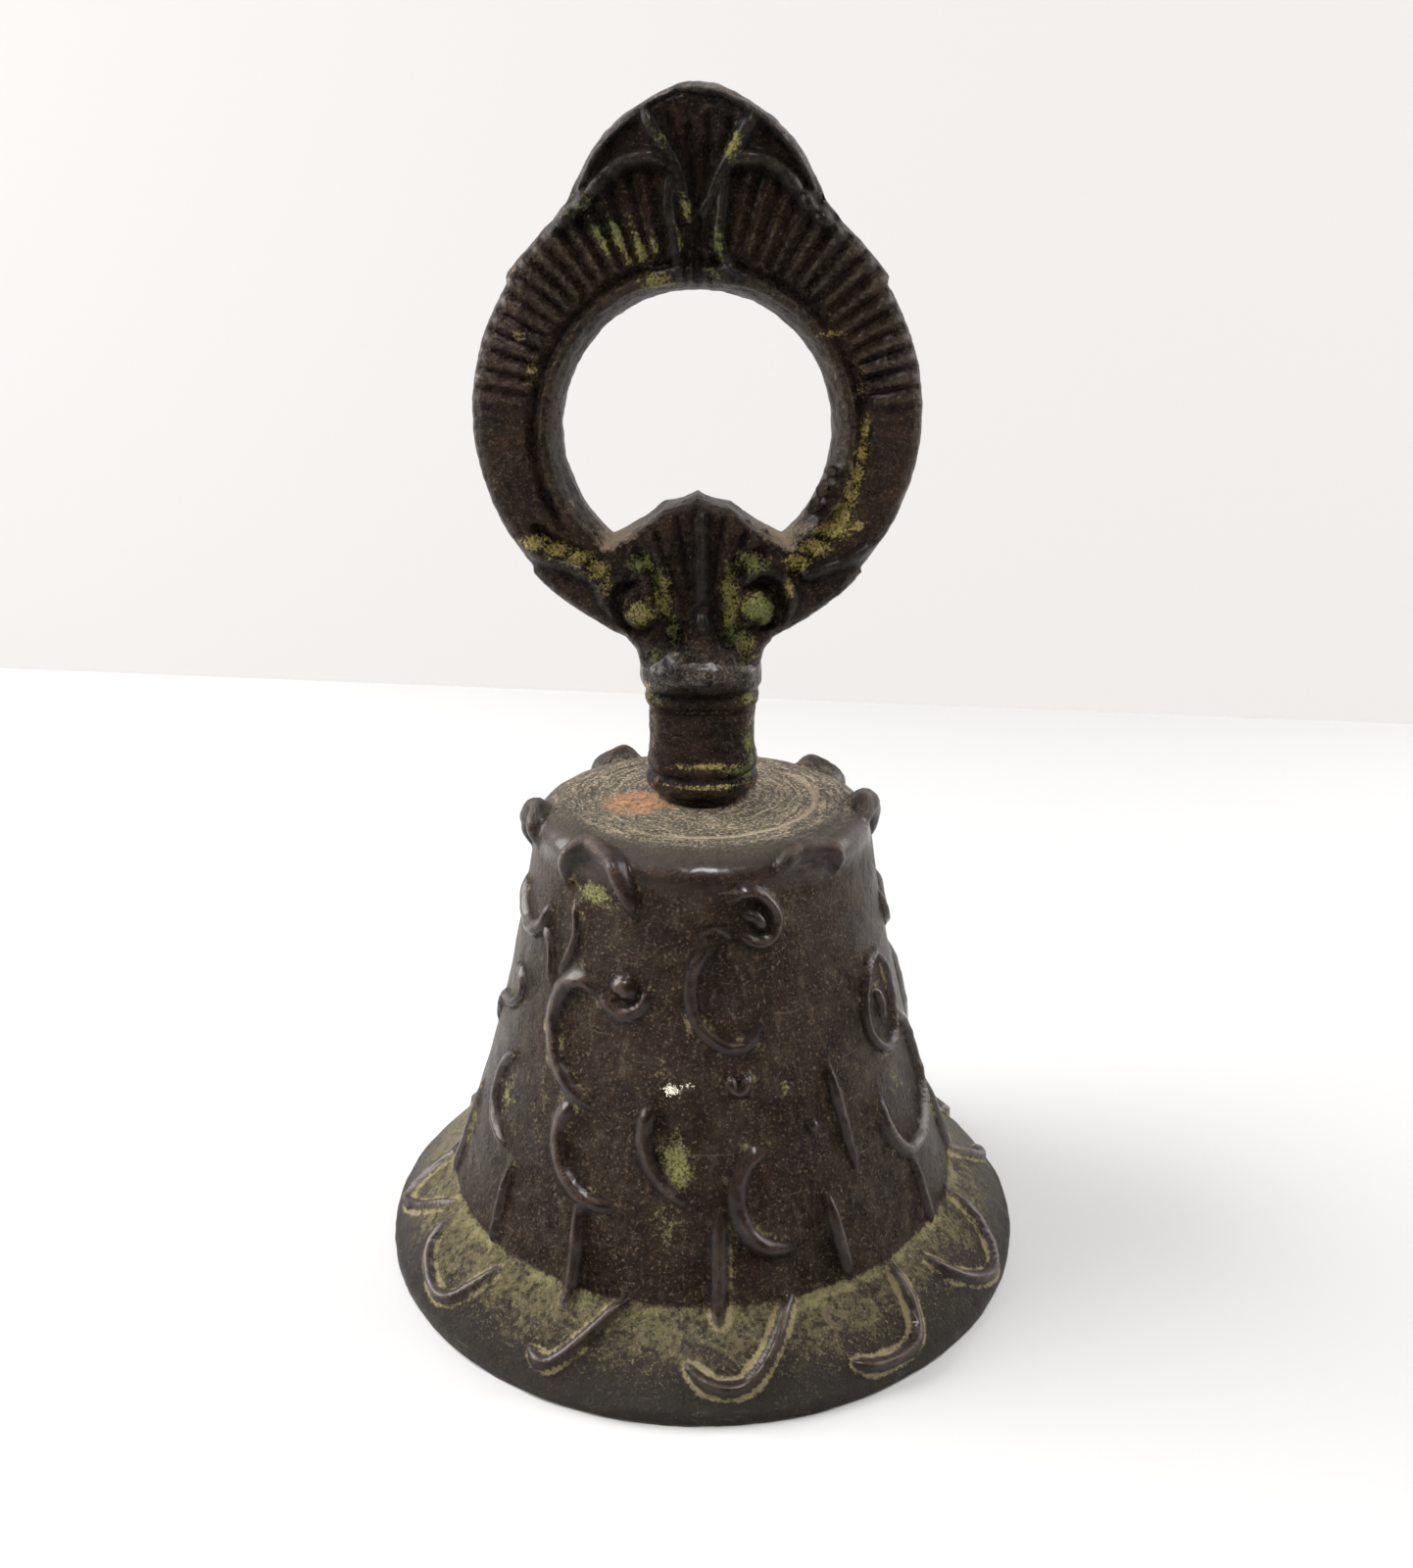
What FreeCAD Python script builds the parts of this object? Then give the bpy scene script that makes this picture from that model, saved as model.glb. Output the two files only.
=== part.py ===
"""Brass hand bell for household worship, with an open finger-ring handle.

The bell body and the handle are two brass castings.  A steel eye bolt goes up through the crown of the
body into a tapped hole in the handle's stem, and a washer and a nut under the crown clamp them together.
A wire link hangs in the bolt's eye, and the clapper hangs in the link: a wire rod with a loop at its top
and a brass ball riveted on its lower end.

Units are millimetres.  The origin is the centre of the mouth, on the plane the rim rests on.  +Z runs up
the axis of the bell, and the flat faces of the ring handle look along -Y and +Y.
"""

import FreeCAD, Part
import math
import os

from FreeCAD import Vector

UP = Vector(0, 0, 1)
DEPTH = Vector(0, 1, 0)
SIDES = (-1, 1)

# ---- bell body -------------------------------------------------------------------------------------
mouth_radius = 33.5          # widest point of the rim
rim_round = 0.9              # height of the rim's rolled outer edge
rim_bulge = 0.12             # how far the rolled edge bulges past straight lines
rim_land = 2.3               # width of the flat ring that the bell stands on
skirt_rise = 6.9             # height at which the flared skirt meets the waist
skirt_reach = 6.4            # how far the rim stands out past the foot of the waist
waist_foot_lift = 1.4        # height of the small hollow between skirt and waist
waist_foot_step = 0.9        # how far the waist steps in over that hollow
shoulder_radius = 16.8       # top of the waist
shoulder_drop = 3.4          # how far the top of the waist is below the crown's seat
waist_hollow = 0.85          # how far the waist is hollow against a straight cone
waist_bands = 4              # straight bands that make up the hollow of the waist
crown_edge_round = 2.1       # rounded edge between waist and crown
crown_height = 48.6          # turned seat under the handle
crown_seat_radius = 7.5
crown_fall = 0.9             # how far the crown falls from its seat to its edge
wall = 2.6                   # waist and skirt
crown_wall = 3.2

# ---- ornament laid on the body ---------------------------------------------------------------------
hook_count = 12              # hooks round the skirt, and ribs round the foot of the waist
thread_radius = 0.8          # round ridges of the scrolls
thread_sink = 0.3            # depth of a ridge's centre line under the surface
end_sink = 1.25              # depth of a ridge's ends, in radii of the ridge
dot_sink = 0.45              # depth of a knob's centre, in radii of the knob
hook_radius = 0.85
rib_foot_radius = 0.95
rib_tip_radius = 0.4
rib_length = 9.0
hook_run_in = 10             # degrees from a hook's tail to its turn, and from there to its arm's top
hook_run_out = 13
hook_tail_rise = 2.6
knob_radius = 1.25           # thick scrolls over the crown's edge

# ---- handle ----------------------------------------------------------------------------------------
handle_foot_gap = 0.8        # narrow foot between the crown and the collar
handle_foot_radius = 4.7
collar_radius = 5.55
collar_height = 1.4          # each of the two beads of the collar
turned_groove = 0.35         # depth of the grooves turned into the stem
stem_radius = 5.15
stem_flat = 4.4              # half depth of the stem above the collar, where it is flattened
bead_radius = 5.5
knuckle_radius = 5.9
stem_height = 13.0           # collar, plain stem, bead and knuckle together
ring_radius = 20.6
ring_lift = 2.1              # lowest point of the ring's circle above the stem
finger_hole_radius = 12.35
finger_hole_drop = 1.2       # the hole's centre is below the ring's, so the ring is thicker on top
ring_depth = 8.0
ring_draft = 6.0             # degrees that the ring's walls lean, for the casting mould
crest_rise = 7.5             # crest above the ring
crest_half_width = 11.6
peak_rise = 6.4              # leaf point that stands up into the finger hole
peak_half_width = 7.4
band_width = 3.1             # plain band round the finger hole, inside a groove
flute_count = 13             # grooves on each upper quarter of the ring
flute_start = 28.0           # degrees from the top of the ring
flute_spacing = 5.3
flute_radius = 0.45
flute_overrun = 0.9          # gap from the band's groove to the flutes, and their run past the ring
fan_count = 2                # grooves each side of the middle, on the crest and on the peak
crest_fan_angles = (4, 9)    # first groove from upright, and the spacing, in degrees
crest_fan_reach = (15.0, 32.0)
peak_fan_angles = (5, 13)
peak_fan_reach = (6.0, 15.0)
band_groove_radius = 0.45
volute_radius = 1.8
volute_height = 4.4          # above the stem
volute_sink = 0.5            # depth of a volute's centre under the ring's face
nose_radius = 3.1            # swelling between the volutes
nose_sink = 1.6
yoke_overlap = 3.0           # how far the neck reaches up into the ring
stem_overlap = 1.0           # how far neck and stem run into each other

# ---- bolt, nut, washer -----------------------------------------------------------------------------
bolt_radius = 2.0            # M4, drawn at its outside diameter
thread_clearance = 0.05
bolt_hole_clearance = 0.25
bolt_grip = 8.0              # length screwed into the handle
tapped_hole_spare = 1.0      # tapped hole beyond the bolt's end
washer_radius = 6.0
washer_thickness = 1.0
nut_across_flats = 7.0
nut_thickness = 3.2
eye_radius = 3.0             # eye of the bolt, to the centre of its wire
eye_wire_radius = 1.2
eye_drop = 1.2               # plain thread between nut and eye
through = 4                  # cutting tools are this many times longer than what they go through

# ---- clapper ---------------------------------------------------------------------------------------
link_wire_radius = 0.9
link_play = 0.3              # clearance between linked wires
loop_headroom = 0.4          # gap between the eye of the bolt and the clapper's loop
clapper_wire_radius = 1.1
rod_collar_radius = 2.3      # upset collar above the ball and riveted head under it
rod_collar_thickness = 1.0
ball_radius = 6.4            # half the height between the ball's two flats
ball_swell = 1.05            # the ball's round radius, as a share of that
ball_height = 9.4            # centre of the ball above the mouth
ball_clearance = 0.05


# ---- shared geometry -------------------------------------------------------------------------------
def revolved(edges):
    """Solid turned about the axis from a closed outline of edges in the XZ plane."""
    wire = Part.Wire(edges)
    return Part.Face(wire).revolve(Vector(), UP, 360)


def line(a, b):
    return Part.LineSegment(Vector(a[0], 0, a[1]), Vector(b[0], 0, b[1])).toShape()


def arc(a, through, b):
    points = [Vector(p[0], 0, p[1]) for p in (a, through, b)]
    return Part.Arc(*points).toShape()


def halfway(a, b, bulge=0.0):
    """Middle of two (x, z) points, moved square to the line between them."""
    dx, dz = b[0] - a[0], b[1] - a[1]
    length = math.hypot(dx, dz)
    return ((a[0] + b[0]) / 2 + dz / length * bulge, (a[1] + b[1]) / 2 - dx / length * bulge)


def swept_arc(start, through, end, radius):
    """Round wire along the arc through three points."""
    path = Part.Wire([Part.Arc(start, through, end).toShape()])
    along = path.Edges[0].tangentAt(path.Edges[0].FirstParameter)
    section = Part.Wire([Part.Circle(start, along, radius).toShape()])
    return path.makePipeShell([section], True, True)


def bore(radius, bottom, depth):
    """Round hole up the axis, open at both ends of a piece that is so deep."""
    return Part.makeCylinder(radius, depth * through, Vector(0, 0, bottom - depth * (through - 1) / 2))


# ---- bell body -------------------------------------------------------------------------------------
skirt_foot = (mouth_radius - rim_round * 0.6, rim_round * 1.9)
skirt_top = (mouth_radius - skirt_reach, skirt_rise)
waist_foot = (skirt_top[0] - waist_foot_step, skirt_rise + waist_foot_lift)
shoulder_height = crown_height - shoulder_drop
shoulder = (shoulder_radius, shoulder_height)
crown_edge = (shoulder_radius - crown_edge_round, crown_height - crown_fall)


def waist_radius(share):
    """Outside radius at a share of the way up the waist."""
    straight = waist_foot[0] + (shoulder[0] - waist_foot[0]) * share
    return straight - 4 * waist_hollow * share * (1 - share)


def waist_point(share, inwards=0.0):
    return (waist_radius(share) - inwards, waist_foot[1] + (shoulder[1] - waist_foot[1]) * share)


band_shares = [n / waist_bands for n in range(waist_bands + 1)]
outer_steps = [skirt_foot, skirt_top] + [waist_point(share) for share in band_shares]


def outer_radius(height):
    """Radius of the body's outside at a height between the rim and the shoulder."""
    for low, high in zip(outer_steps, outer_steps[1:]):
        if height <= high[1]:
            break
    return low[0] + (high[0] - low[0]) * (height - low[1]) / (high[1] - low[1])


def on_body(angle, height, sink=0.0):
    """Point at an angle from the front, counted towards +X, and a height, below the body's surface."""
    turn = math.radians(angle)
    radius = outer_radius(height) - sink
    return Vector(radius * math.sin(turn), -radius * math.cos(turn), height)


def body_shell():
    rim_outside = (mouth_radius, rim_round)
    rim_bottom = (mouth_radius - rim_round * 0.45, 0.0)
    land_inside = (rim_bottom[0] - rim_land, 0.0)
    inner_skirt_top = (skirt_top[0] - wall * 0.55, skirt_rise - wall * 0.75)
    inner_shoulder = (shoulder_radius - wall, crown_height - crown_wall - crown_edge_round)
    inner_waist = [waist_point(share, wall) for share in band_shares[:-1]]
    inner_steps = [inner_skirt_top] + inner_waist + [inner_shoulder]
    inner_crown_edge = (inner_shoulder[0] - crown_edge_round, crown_height - crown_wall)
    corner = crown_edge_round * (1 - math.sqrt(0.5))
    edges = [
        line((0, crown_height), (crown_seat_radius, crown_height)),
        line((crown_seat_radius, crown_height), crown_edge),
        arc(crown_edge, halfway(crown_edge, shoulder, -corner), shoulder),
        *[line(high, low) for low, high in reversed(list(zip(outer_steps, outer_steps[1:])))],
        arc(skirt_foot, halfway(skirt_foot, rim_outside, -rim_bulge), rim_outside),
        arc(rim_outside, halfway(rim_outside, rim_bottom, -rim_bulge), rim_bottom),
        line(rim_bottom, land_inside),
        line(land_inside, inner_skirt_top),
        *[line(low, high) for low, high in zip(inner_steps, inner_steps[1:])],
        arc(inner_shoulder, halfway(inner_crown_edge, inner_shoulder, -corner), inner_crown_edge),
        line(inner_crown_edge, (0, crown_height - crown_wall)),
        line((0, crown_height - crown_wall), (0, crown_height)),
    ]
    return revolved(edges).cut(bore(bolt_radius + bolt_hole_clearance, crown_height - crown_wall, crown_wall))


def scroll(start, middle, end, radius):
    """Crescent laid on the body: its ends run down under the surface."""
    buried = radius * end_sink
    return swept_arc(on_body(*start, buried), on_body(*middle, thread_sink), on_body(*end, buried), radius)


def skirt_hook(angle):
    """Hook on the skirt: a turn near the rim, and an arm that rises to the foot of the waist."""
    low = skirt_foot[1] + hook_radius * 1.2
    tail = (angle - hook_run_in, low + hook_tail_rise)
    return scroll(tail, (angle, low), (angle + hook_run_out, skirt_rise), hook_radius)


def waist_rib(angle, foot_height, length, side_lean=0.0):
    """Spear-shaped rib up the waist: a ball at its foot, and a point that runs in under the surface."""
    foot = on_body(angle, foot_height, thread_sink)
    tip = on_body(angle + side_lean, foot_height + length, rib_tip_radius * end_sink)
    spear = Part.makeCone(rib_foot_radius, rib_tip_radius, (tip - foot).Length, foot, tip - foot)
    return [spear, Part.makeSphere(rib_foot_radius * 1.12, foot)]


def crown_knob(angle, half_width):
    """Thick scroll that climbs over the crown's edge."""
    foot = shoulder_height - knob_radius / 2
    ends = [on_body(angle + side * half_width, foot, knob_radius * end_sink) for side in SIDES]
    turn = math.radians(angle)
    reach = shoulder_radius - crown_edge_round * 0.55
    top = Vector(reach * math.sin(turn), -reach * math.cos(turn), crown_height - crown_fall - 0.2)
    return swept_arc(ends[0], top, ends[1], knob_radius)


def dot(angle, height, radius):
    return Part.makeSphere(radius, on_body(angle, height, radius * dot_sink))


# Scrolls as (angle, share of the waist's height) for start, middle and end.  Each is cast twice, half a
# turn apart.
SCROLLS = [
    ((2, 0.86), (-2, 0.68), (16, 0.66)),
    ((10, 0.985), (23, 0.91), (12, 0.88)),
    ((66, 0.72), (53, 0.61), (66, 0.46)),
    ((66, 0.72), (77, 0.59), (66, 0.46)),
    ((52, 0.35), (58, 0.21), (78, 0.30)),
    ((-33, 0.72), (-45, 0.61), (-26, 0.44)),
    ((-28, 0.71), (-22, 0.685), (-15, 0.73)),
    ((-36, 0.39), (-31, 0.25), (-17, 0.22)),
    ((-13, 0.45), (-10, 0.31), (-3, 0.24)),
    ((15, 0.34), (9, 0.21), (18, 0.11)),
    ((-62, 0.41), (-65, 0.30), (-54, 0.24)),
    ((-80, 0.64), (-74, 0.53), (-65, 0.62)),
    ((-79, 0.85), (-72, 0.78), (-57, 0.77)),
    ((-44, 0.89), (-41, 0.81), (-47, 0.73)),
]
DOTS = [(17, 0.915, 1.4), (-22, 0.73, 1.5), (-68, 0.82, 1.5), (9, 0.52, 1.2), (29, 0.38, 1.0)]
KNOBS = [(-36, 12), (40, 10), (88, 9)]


def waist_height(share):
    return waist_foot[1] + share * (shoulder_height - waist_foot[1])


def bell_body():
    ridges = []
    for half_turn in (0, 180):
        for points in SCROLLS:
            ends = [(angle + half_turn, waist_height(share)) for angle, share in points]
            ridges.append(scroll(*ends, thread_radius))
        for angle, share, radius in DOTS:
            ridges.append(dot(angle + half_turn, waist_height(share), radius))
        for angle, half_width in KNOBS:
            ridges.append(crown_knob(angle + half_turn, half_width))
        ridges += waist_rib(38 + half_turn, waist_height(0.25), rib_length * 1.15, -3)
    for n in range(hook_count):
        angle = 4 + n * 360 / hook_count
        ridges.append(skirt_hook(angle))
        ridges += waist_rib(angle, waist_foot[1] + rib_foot_radius * 1.6, rib_length)
    return body_shell().fuse(ridges)


# ---- handle ----------------------------------------------------------------------------------------
handle_foot = crown_height
collar_bottom = handle_foot + handle_foot_gap
stem_top = collar_bottom + stem_height
ring_centre = stem_top + ring_lift + ring_radius
hole_centre = ring_centre - finger_hole_drop
half_depth = ring_depth / 2
lean = half_depth * math.tan(math.radians(ring_draft))


def stem():
    """Turned stem: narrow foot, double collar, plain stem, bead and knuckle."""
    z0 = collar_bottom
    waist_of_collar = z0 + collar_height
    plain_bottom = z0 + collar_height * 2 + turned_groove
    bead_low, bead_high = z0 + stem_height * 0.66, z0 + stem_height * 0.74
    knuckle_low, knuckle_high = z0 + stem_height * 0.82, z0 + stem_height * 0.93
    bead_groove = (bead_high + knuckle_low) / 2
    outline = [
        (0, handle_foot), (handle_foot_radius, handle_foot), (handle_foot_radius, z0),
        (collar_radius - turned_groove, z0), (collar_radius, z0 + turned_groove),
        (collar_radius, waist_of_collar),
        (collar_radius - turned_groove, waist_of_collar + turned_groove),
        (collar_radius, waist_of_collar + 2 * turned_groove),
        (collar_radius, z0 + collar_height * 2), (stem_radius, plain_bottom),
        (stem_radius, bead_low - turned_groove), (bead_radius, bead_low), (bead_radius, bead_high),
        (bead_radius - turned_groove, bead_groove),
        (knuckle_radius, knuckle_low), (knuckle_radius, knuckle_high),
        (stem_radius, stem_top), (0, stem_top),
    ]
    turned = revolved([line(a, b) for a, b in zip(outline, outline[1:] + outline[:1])])
    side = collar_radius * 4
    for way in SIDES:
        corner = Vector(-side / 2, way * (stem_flat + side / 2) - side / 2, plain_bottom)
        turned = turned.cut(Part.makeBox(side, side, bead_groove - plain_bottom, corner))
    return turned


def drafted(outline, closing_arcs=()):
    """Solid with a given (x, z) outline at mid depth that tapers to both faces, as a two-part mould gives."""
    def wire_at(y, inset):
        middle_x = sum(p[0] for p in outline) / len(outline)
        middle_z = sum(p[1] for p in outline) / len(outline)
        points = []
        for x, z in outline:
            reach = math.hypot(x - middle_x, z - middle_z)
            share = (reach - inset) / reach
            points.append(Vector(middle_x + (x - middle_x) * share, y, middle_z + (z - middle_z) * share))
        return Part.makePolygon(points + points[:1])

    halves = [Part.makeLoft([wire_at(0, 0), wire_at(way * half_depth, lean)], True, True) for way in SIDES]
    return halves[0].fuse(halves[1])


def double_cone(centre_height, radius, taper):
    """Disc or hole about the Y axis, its radius changing by taper from mid depth to each face."""
    centre = Vector(0, 0, centre_height)
    halves = [Part.makeCone(radius, radius + taper, half_depth, centre, DEPTH * way) for way in SIDES]
    return halves[0].fuse(halves[1])


def mirrored(right_half):
    """Closed outline from its right half, which is listed from the middle on top round to the bottom."""
    return right_half + [(-x, z) for x, z in reversed(right_half) if x > 0]


def crest_outline():
    top = ring_centre + ring_radius
    return mirrored([
        (0, top + crest_rise), (crest_half_width * 0.5, top + crest_rise * 0.71),
        (crest_half_width * 0.83, top + crest_rise * 0.16),
        (crest_half_width, ring_centre + ring_radius * 0.86),
        (crest_half_width * 0.6, ring_centre + ring_radius * 0.7),
    ])


def yoke_outline():
    """Neck between the stem and the ring."""
    side = ring_radius * 0.65
    joins_ring = ring_centre - math.sqrt(ring_radius**2 - side**2)
    return mirrored([
        (stem_radius, joins_ring + yoke_overlap), (side, joins_ring),
        (stem_radius, stem_top + stem_overlap), (stem_radius, stem_top - stem_overlap),
    ])


def peak_outline():
    hole_bottom = hole_centre - finger_hole_radius
    return mirrored([
        (0, hole_bottom + peak_rise), (peak_half_width * 0.55, hole_bottom + peak_rise * 0.68),
        (peak_half_width, hole_bottom + peak_rise * 0.375),
        (peak_half_width * 0.8, hole_bottom - stem_overlap * 2),
    ])


def ring_blank():
    blank = double_cone(ring_centre, ring_radius, -lean)
    blank = blank.fuse([drafted(crest_outline()), drafted(yoke_outline())])
    blank = blank.cut(double_cone(hole_centre, finger_hole_radius, lean))
    return blank.fuse(drafted(peak_outline()))


def radial_groove(centre_height, degrees, reach, way):
    """Half-round groove on one face of the ring, along a spoke at an angle counted up from +X."""
    turn = math.radians(degrees)
    spoke = Vector(math.cos(turn), 0, math.sin(turn))
    start = Vector(0, way * half_depth, centre_height) + spoke * reach[0]
    return Part.makeCylinder(flute_radius, reach[1] - reach[0], start, spoke)


def face_grooves(way):
    """Cuts on one face, in groups: the line round the hole, the flutes, and the fans of crest and peak."""
    band_radius = finger_hole_radius + band_width
    face = Vector(0, way * half_depth, hole_centre)
    band = [Part.makeTorus(band_radius, band_groove_radius, face, DEPTH)]
    flute_reach = (band_radius + flute_overrun, ring_radius + flute_overrun)
    flutes = []
    crest_fan = []
    peak_fan = []
    for side in SIDES:
        for n in range(flute_count):
            degrees = 90 + side * (flute_start + n * flute_spacing)
            flutes.append(radial_groove(ring_centre, degrees, flute_reach, way))
        for n in range(fan_count):
            on_crest = 90 + side * (crest_fan_angles[0] + n * crest_fan_angles[1])
            crest_fan.append(radial_groove(ring_centre, on_crest, crest_fan_reach, way))
            on_peak = 90 + side * (peak_fan_angles[0] + n * peak_fan_angles[1])
            peak_fan.append(radial_groove(stem_top, on_peak, peak_fan_reach, way))
    return [band, flutes, crest_fan, peak_fan]


def volutes(way):
    """Round scroll ends either side of the stem's neck, and the swelling between them."""
    made = []
    for side in SIDES:
        eye = Vector(side * stem_radius * 1.1, way * (half_depth - volute_sink), stem_top + volute_height)
        made.append(Part.makeSphere(volute_radius, eye))
    nose = Vector(0, way * (half_depth - nose_sink), stem_top + turned_groove)
    made.append(Part.makeSphere(nose_radius, nose))
    return made


def handle():
    casting = ring_blank()
    for group in face_grooves(-1) + face_grooves(1):
        casting = casting.cut(group)
    casting = casting.fuse([stem()] + volutes(-1) + volutes(1))
    tapped = Part.makeCylinder(bolt_radius + thread_clearance, bolt_grip + tapped_hole_spare,
                               Vector(0, 0, handle_foot))
    return casting.cut(tapped)


# ---- bolt, washer and nut --------------------------------------------------------------------------
washer_top = crown_height - crown_wall
nut_top = washer_top - washer_thickness
nut_bottom = nut_top - nut_thickness
eye_centre = nut_bottom - eye_drop - eye_wire_radius - eye_radius


def eye_bolt():
    shank_bottom = eye_centre + eye_radius
    length = handle_foot + bolt_grip - shank_bottom
    shank = Part.makeCylinder(bolt_radius, length, Vector(0, 0, shank_bottom))
    eye = Part.makeTorus(eye_radius, eye_wire_radius, Vector(0, 0, eye_centre), DEPTH)
    return shank.fuse(eye)


def clamp_washer():
    disc = Part.makeCylinder(washer_radius, washer_thickness, Vector(0, 0, nut_top))
    return disc.cut(bore(bolt_radius + bolt_hole_clearance, nut_top, washer_thickness))


def clamp_nut():
    corner = nut_across_flats / math.sqrt(3)
    turns = [math.radians(60 * n) for n in range(6)]
    points = [Vector(corner * math.cos(turn), corner * math.sin(turn), nut_bottom) for turn in turns]
    prism = Part.Face(Part.makePolygon(points + points[:1])).extrude(UP * nut_thickness)
    chamfer = corner - nut_across_flats / 2
    rounding = Part.makeCone(nut_across_flats / 2, corner + nut_thickness, nut_thickness + chamfer,
                             Vector(0, 0, nut_bottom), UP)
    return prism.common(rounding).cut(bore(bolt_radius + thread_clearance, nut_bottom, nut_thickness))


# ---- link and clapper ------------------------------------------------------------------------------
link_pivot = eye_centre - eye_radius
link_arch = eye_wire_radius + link_play + link_wire_radius
loop_radius = link_wire_radius + link_play + clapper_wire_radius
loop_centre = link_pivot - eye_wire_radius - loop_headroom - clapper_wire_radius - loop_radius


def clapper_link():
    """Oval wire link, upright across the eye of the bolt."""
    def at(y, z):
        return Vector(0, y, z)

    low = loop_centre + link_arch
    left, right, top, bottom = -link_arch, link_arch, link_pivot + link_arch, low - link_arch
    path = Part.Wire([
        Part.Arc(at(left, link_pivot), at(0, top), at(right, link_pivot)).toShape(),
        Part.LineSegment(at(right, link_pivot), at(right, low)).toShape(),
        Part.Arc(at(right, low), at(0, bottom), at(left, low)).toShape(),
        Part.LineSegment(at(left, low), at(left, link_pivot)).toShape(),
    ])
    section = Part.Wire([Part.Circle(at(left, link_pivot), UP, link_wire_radius).toShape()])
    return path.makePipeShell([section], True, True)


def clapper_rod():
    """Wire rod with a loop at its top, a collar above the ball and a riveted head under it."""
    loop = Part.makeTorus(loop_radius, clapper_wire_radius, Vector(0, 0, loop_centre), DEPTH)
    head_bottom = ball_height - ball_radius - rod_collar_thickness
    rod_top = loop_centre - loop_radius
    rod = Part.makeCylinder(clapper_wire_radius, rod_top - head_bottom, Vector(0, 0, head_bottom))
    thick = rod_collar_thickness
    collar = Part.makeCylinder(rod_collar_radius, thick, Vector(0, 0, ball_height + ball_radius))
    head = Part.makeCone(rod_collar_radius * 0.6, rod_collar_radius, thick, Vector(0, 0, head_bottom))
    return rod.fuse([loop, collar, head])


def clapper_ball():
    """Cast ball with flats where the collar and the riveted head bear, bored for the rod."""
    ball = Part.makeSphere(ball_radius * ball_swell, Vector(0, 0, ball_height))
    slab = Part.makeBox(ball_radius * 4, ball_radius * 4, ball_radius * 2,
                        Vector(-ball_radius * 2, -ball_radius * 2, ball_height - ball_radius))
    hole = bore(clapper_wire_radius + ball_clearance, ball_height - ball_radius, ball_radius * 2)
    return ball.common(slab).cut(hole)


# ---- output ----------------------------------------------------------------------------------------
NODES = {
    "bell_body": bell_body,
    "handle": handle,
    "eye_bolt": eye_bolt,
    "clamp_washer": clamp_washer,
    "clamp_nut": clamp_nut,
    "clapper_link": clapper_link,
    "clapper_rod": clapper_rod,
    "clapper_ball": clapper_ball,
}


def main():
    os.makedirs("parts", exist_ok=True)
    for name, build in NODES.items():
        shape = build()
        box = shape.BoundBox
        print(f"{name}: solids {len(shape.Solids)}, valid {shape.isValid()}, volume {shape.Volume:.1f} mm3,"
              f" x {box.XMin:.2f} to {box.XMax:.2f}, y {box.YMin:.2f} to {box.YMax:.2f},"
              f" z {box.ZMin:.2f} to {box.ZMax:.2f}")
        shape.exportStep(f"parts/{name}.step")


main()
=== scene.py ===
import math

import bmesh
import bpy
import numpy as np
from mathutils import Matrix, Vector, noise
from mathutils.kdtree import KDTree


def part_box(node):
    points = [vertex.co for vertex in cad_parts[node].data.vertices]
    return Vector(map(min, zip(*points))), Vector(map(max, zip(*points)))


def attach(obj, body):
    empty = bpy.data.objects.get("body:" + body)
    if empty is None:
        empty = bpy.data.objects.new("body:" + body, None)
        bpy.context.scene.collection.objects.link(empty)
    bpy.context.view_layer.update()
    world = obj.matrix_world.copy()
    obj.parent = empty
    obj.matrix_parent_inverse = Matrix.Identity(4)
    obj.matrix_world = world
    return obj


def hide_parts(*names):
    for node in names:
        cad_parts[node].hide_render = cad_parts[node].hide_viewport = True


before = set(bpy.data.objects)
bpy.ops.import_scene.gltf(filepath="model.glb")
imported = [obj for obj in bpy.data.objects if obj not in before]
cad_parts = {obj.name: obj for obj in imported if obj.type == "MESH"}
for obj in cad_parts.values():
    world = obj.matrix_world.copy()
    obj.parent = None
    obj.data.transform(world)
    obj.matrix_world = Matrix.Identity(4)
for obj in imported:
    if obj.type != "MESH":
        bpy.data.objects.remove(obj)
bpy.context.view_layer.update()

# An old cast-brass hand bell.  Lengths are in millimetres until a mesh is finished, then in metres.
# Angles round the bell are in degrees from the front, counted towards +X.
MM = 0.001
crown_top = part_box("handle")[0].z / MM

# ---- bell body: outline
mouth_radius = 33.35
rim_outside = (mouth_radius, 0.75)
rim_bottom = (32.9, 0.0)
rim_land = (30.8, 0.0)
rim_top = (32.75, 1.95)
skirt_top = (27.15, 6.9)
waist_foot = (26.3, 8.1)
shoulder = (16.75, crown_top - 3.4)
crown_edge = (14.75, crown_top - 0.8)
turned_disc = (11.2, crown_top - 0.35)
bolt_hole = 2.25
wall = 2.6
crown_underside = crown_top - 3.2
turns = 432                      # columns round the body
ridge_gain = 1.3                 # ridges of the body stand this much higher than the wax threads
fine, coarse = 0.38, 1.5         # spacing of the rows, outside and inside


def stretch(a, b, bulge, spacing):
    """Points from a towards b on a shallow bow that stands off the straight line by bulge."""
    (ar, az), (br, bz) = a, b
    length = math.hypot(br - ar, bz - az)
    side = ((bz - az) / length, (ar - br) / length)
    steps = max(1, round(length / spacing))
    for n in range(steps):
        t = n / steps
        off = 4 * bulge * t * (1 - t)
        yield (ar + (br - ar) * t + side[0] * off, az + (bz - az) * t + side[1] * off)


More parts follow.
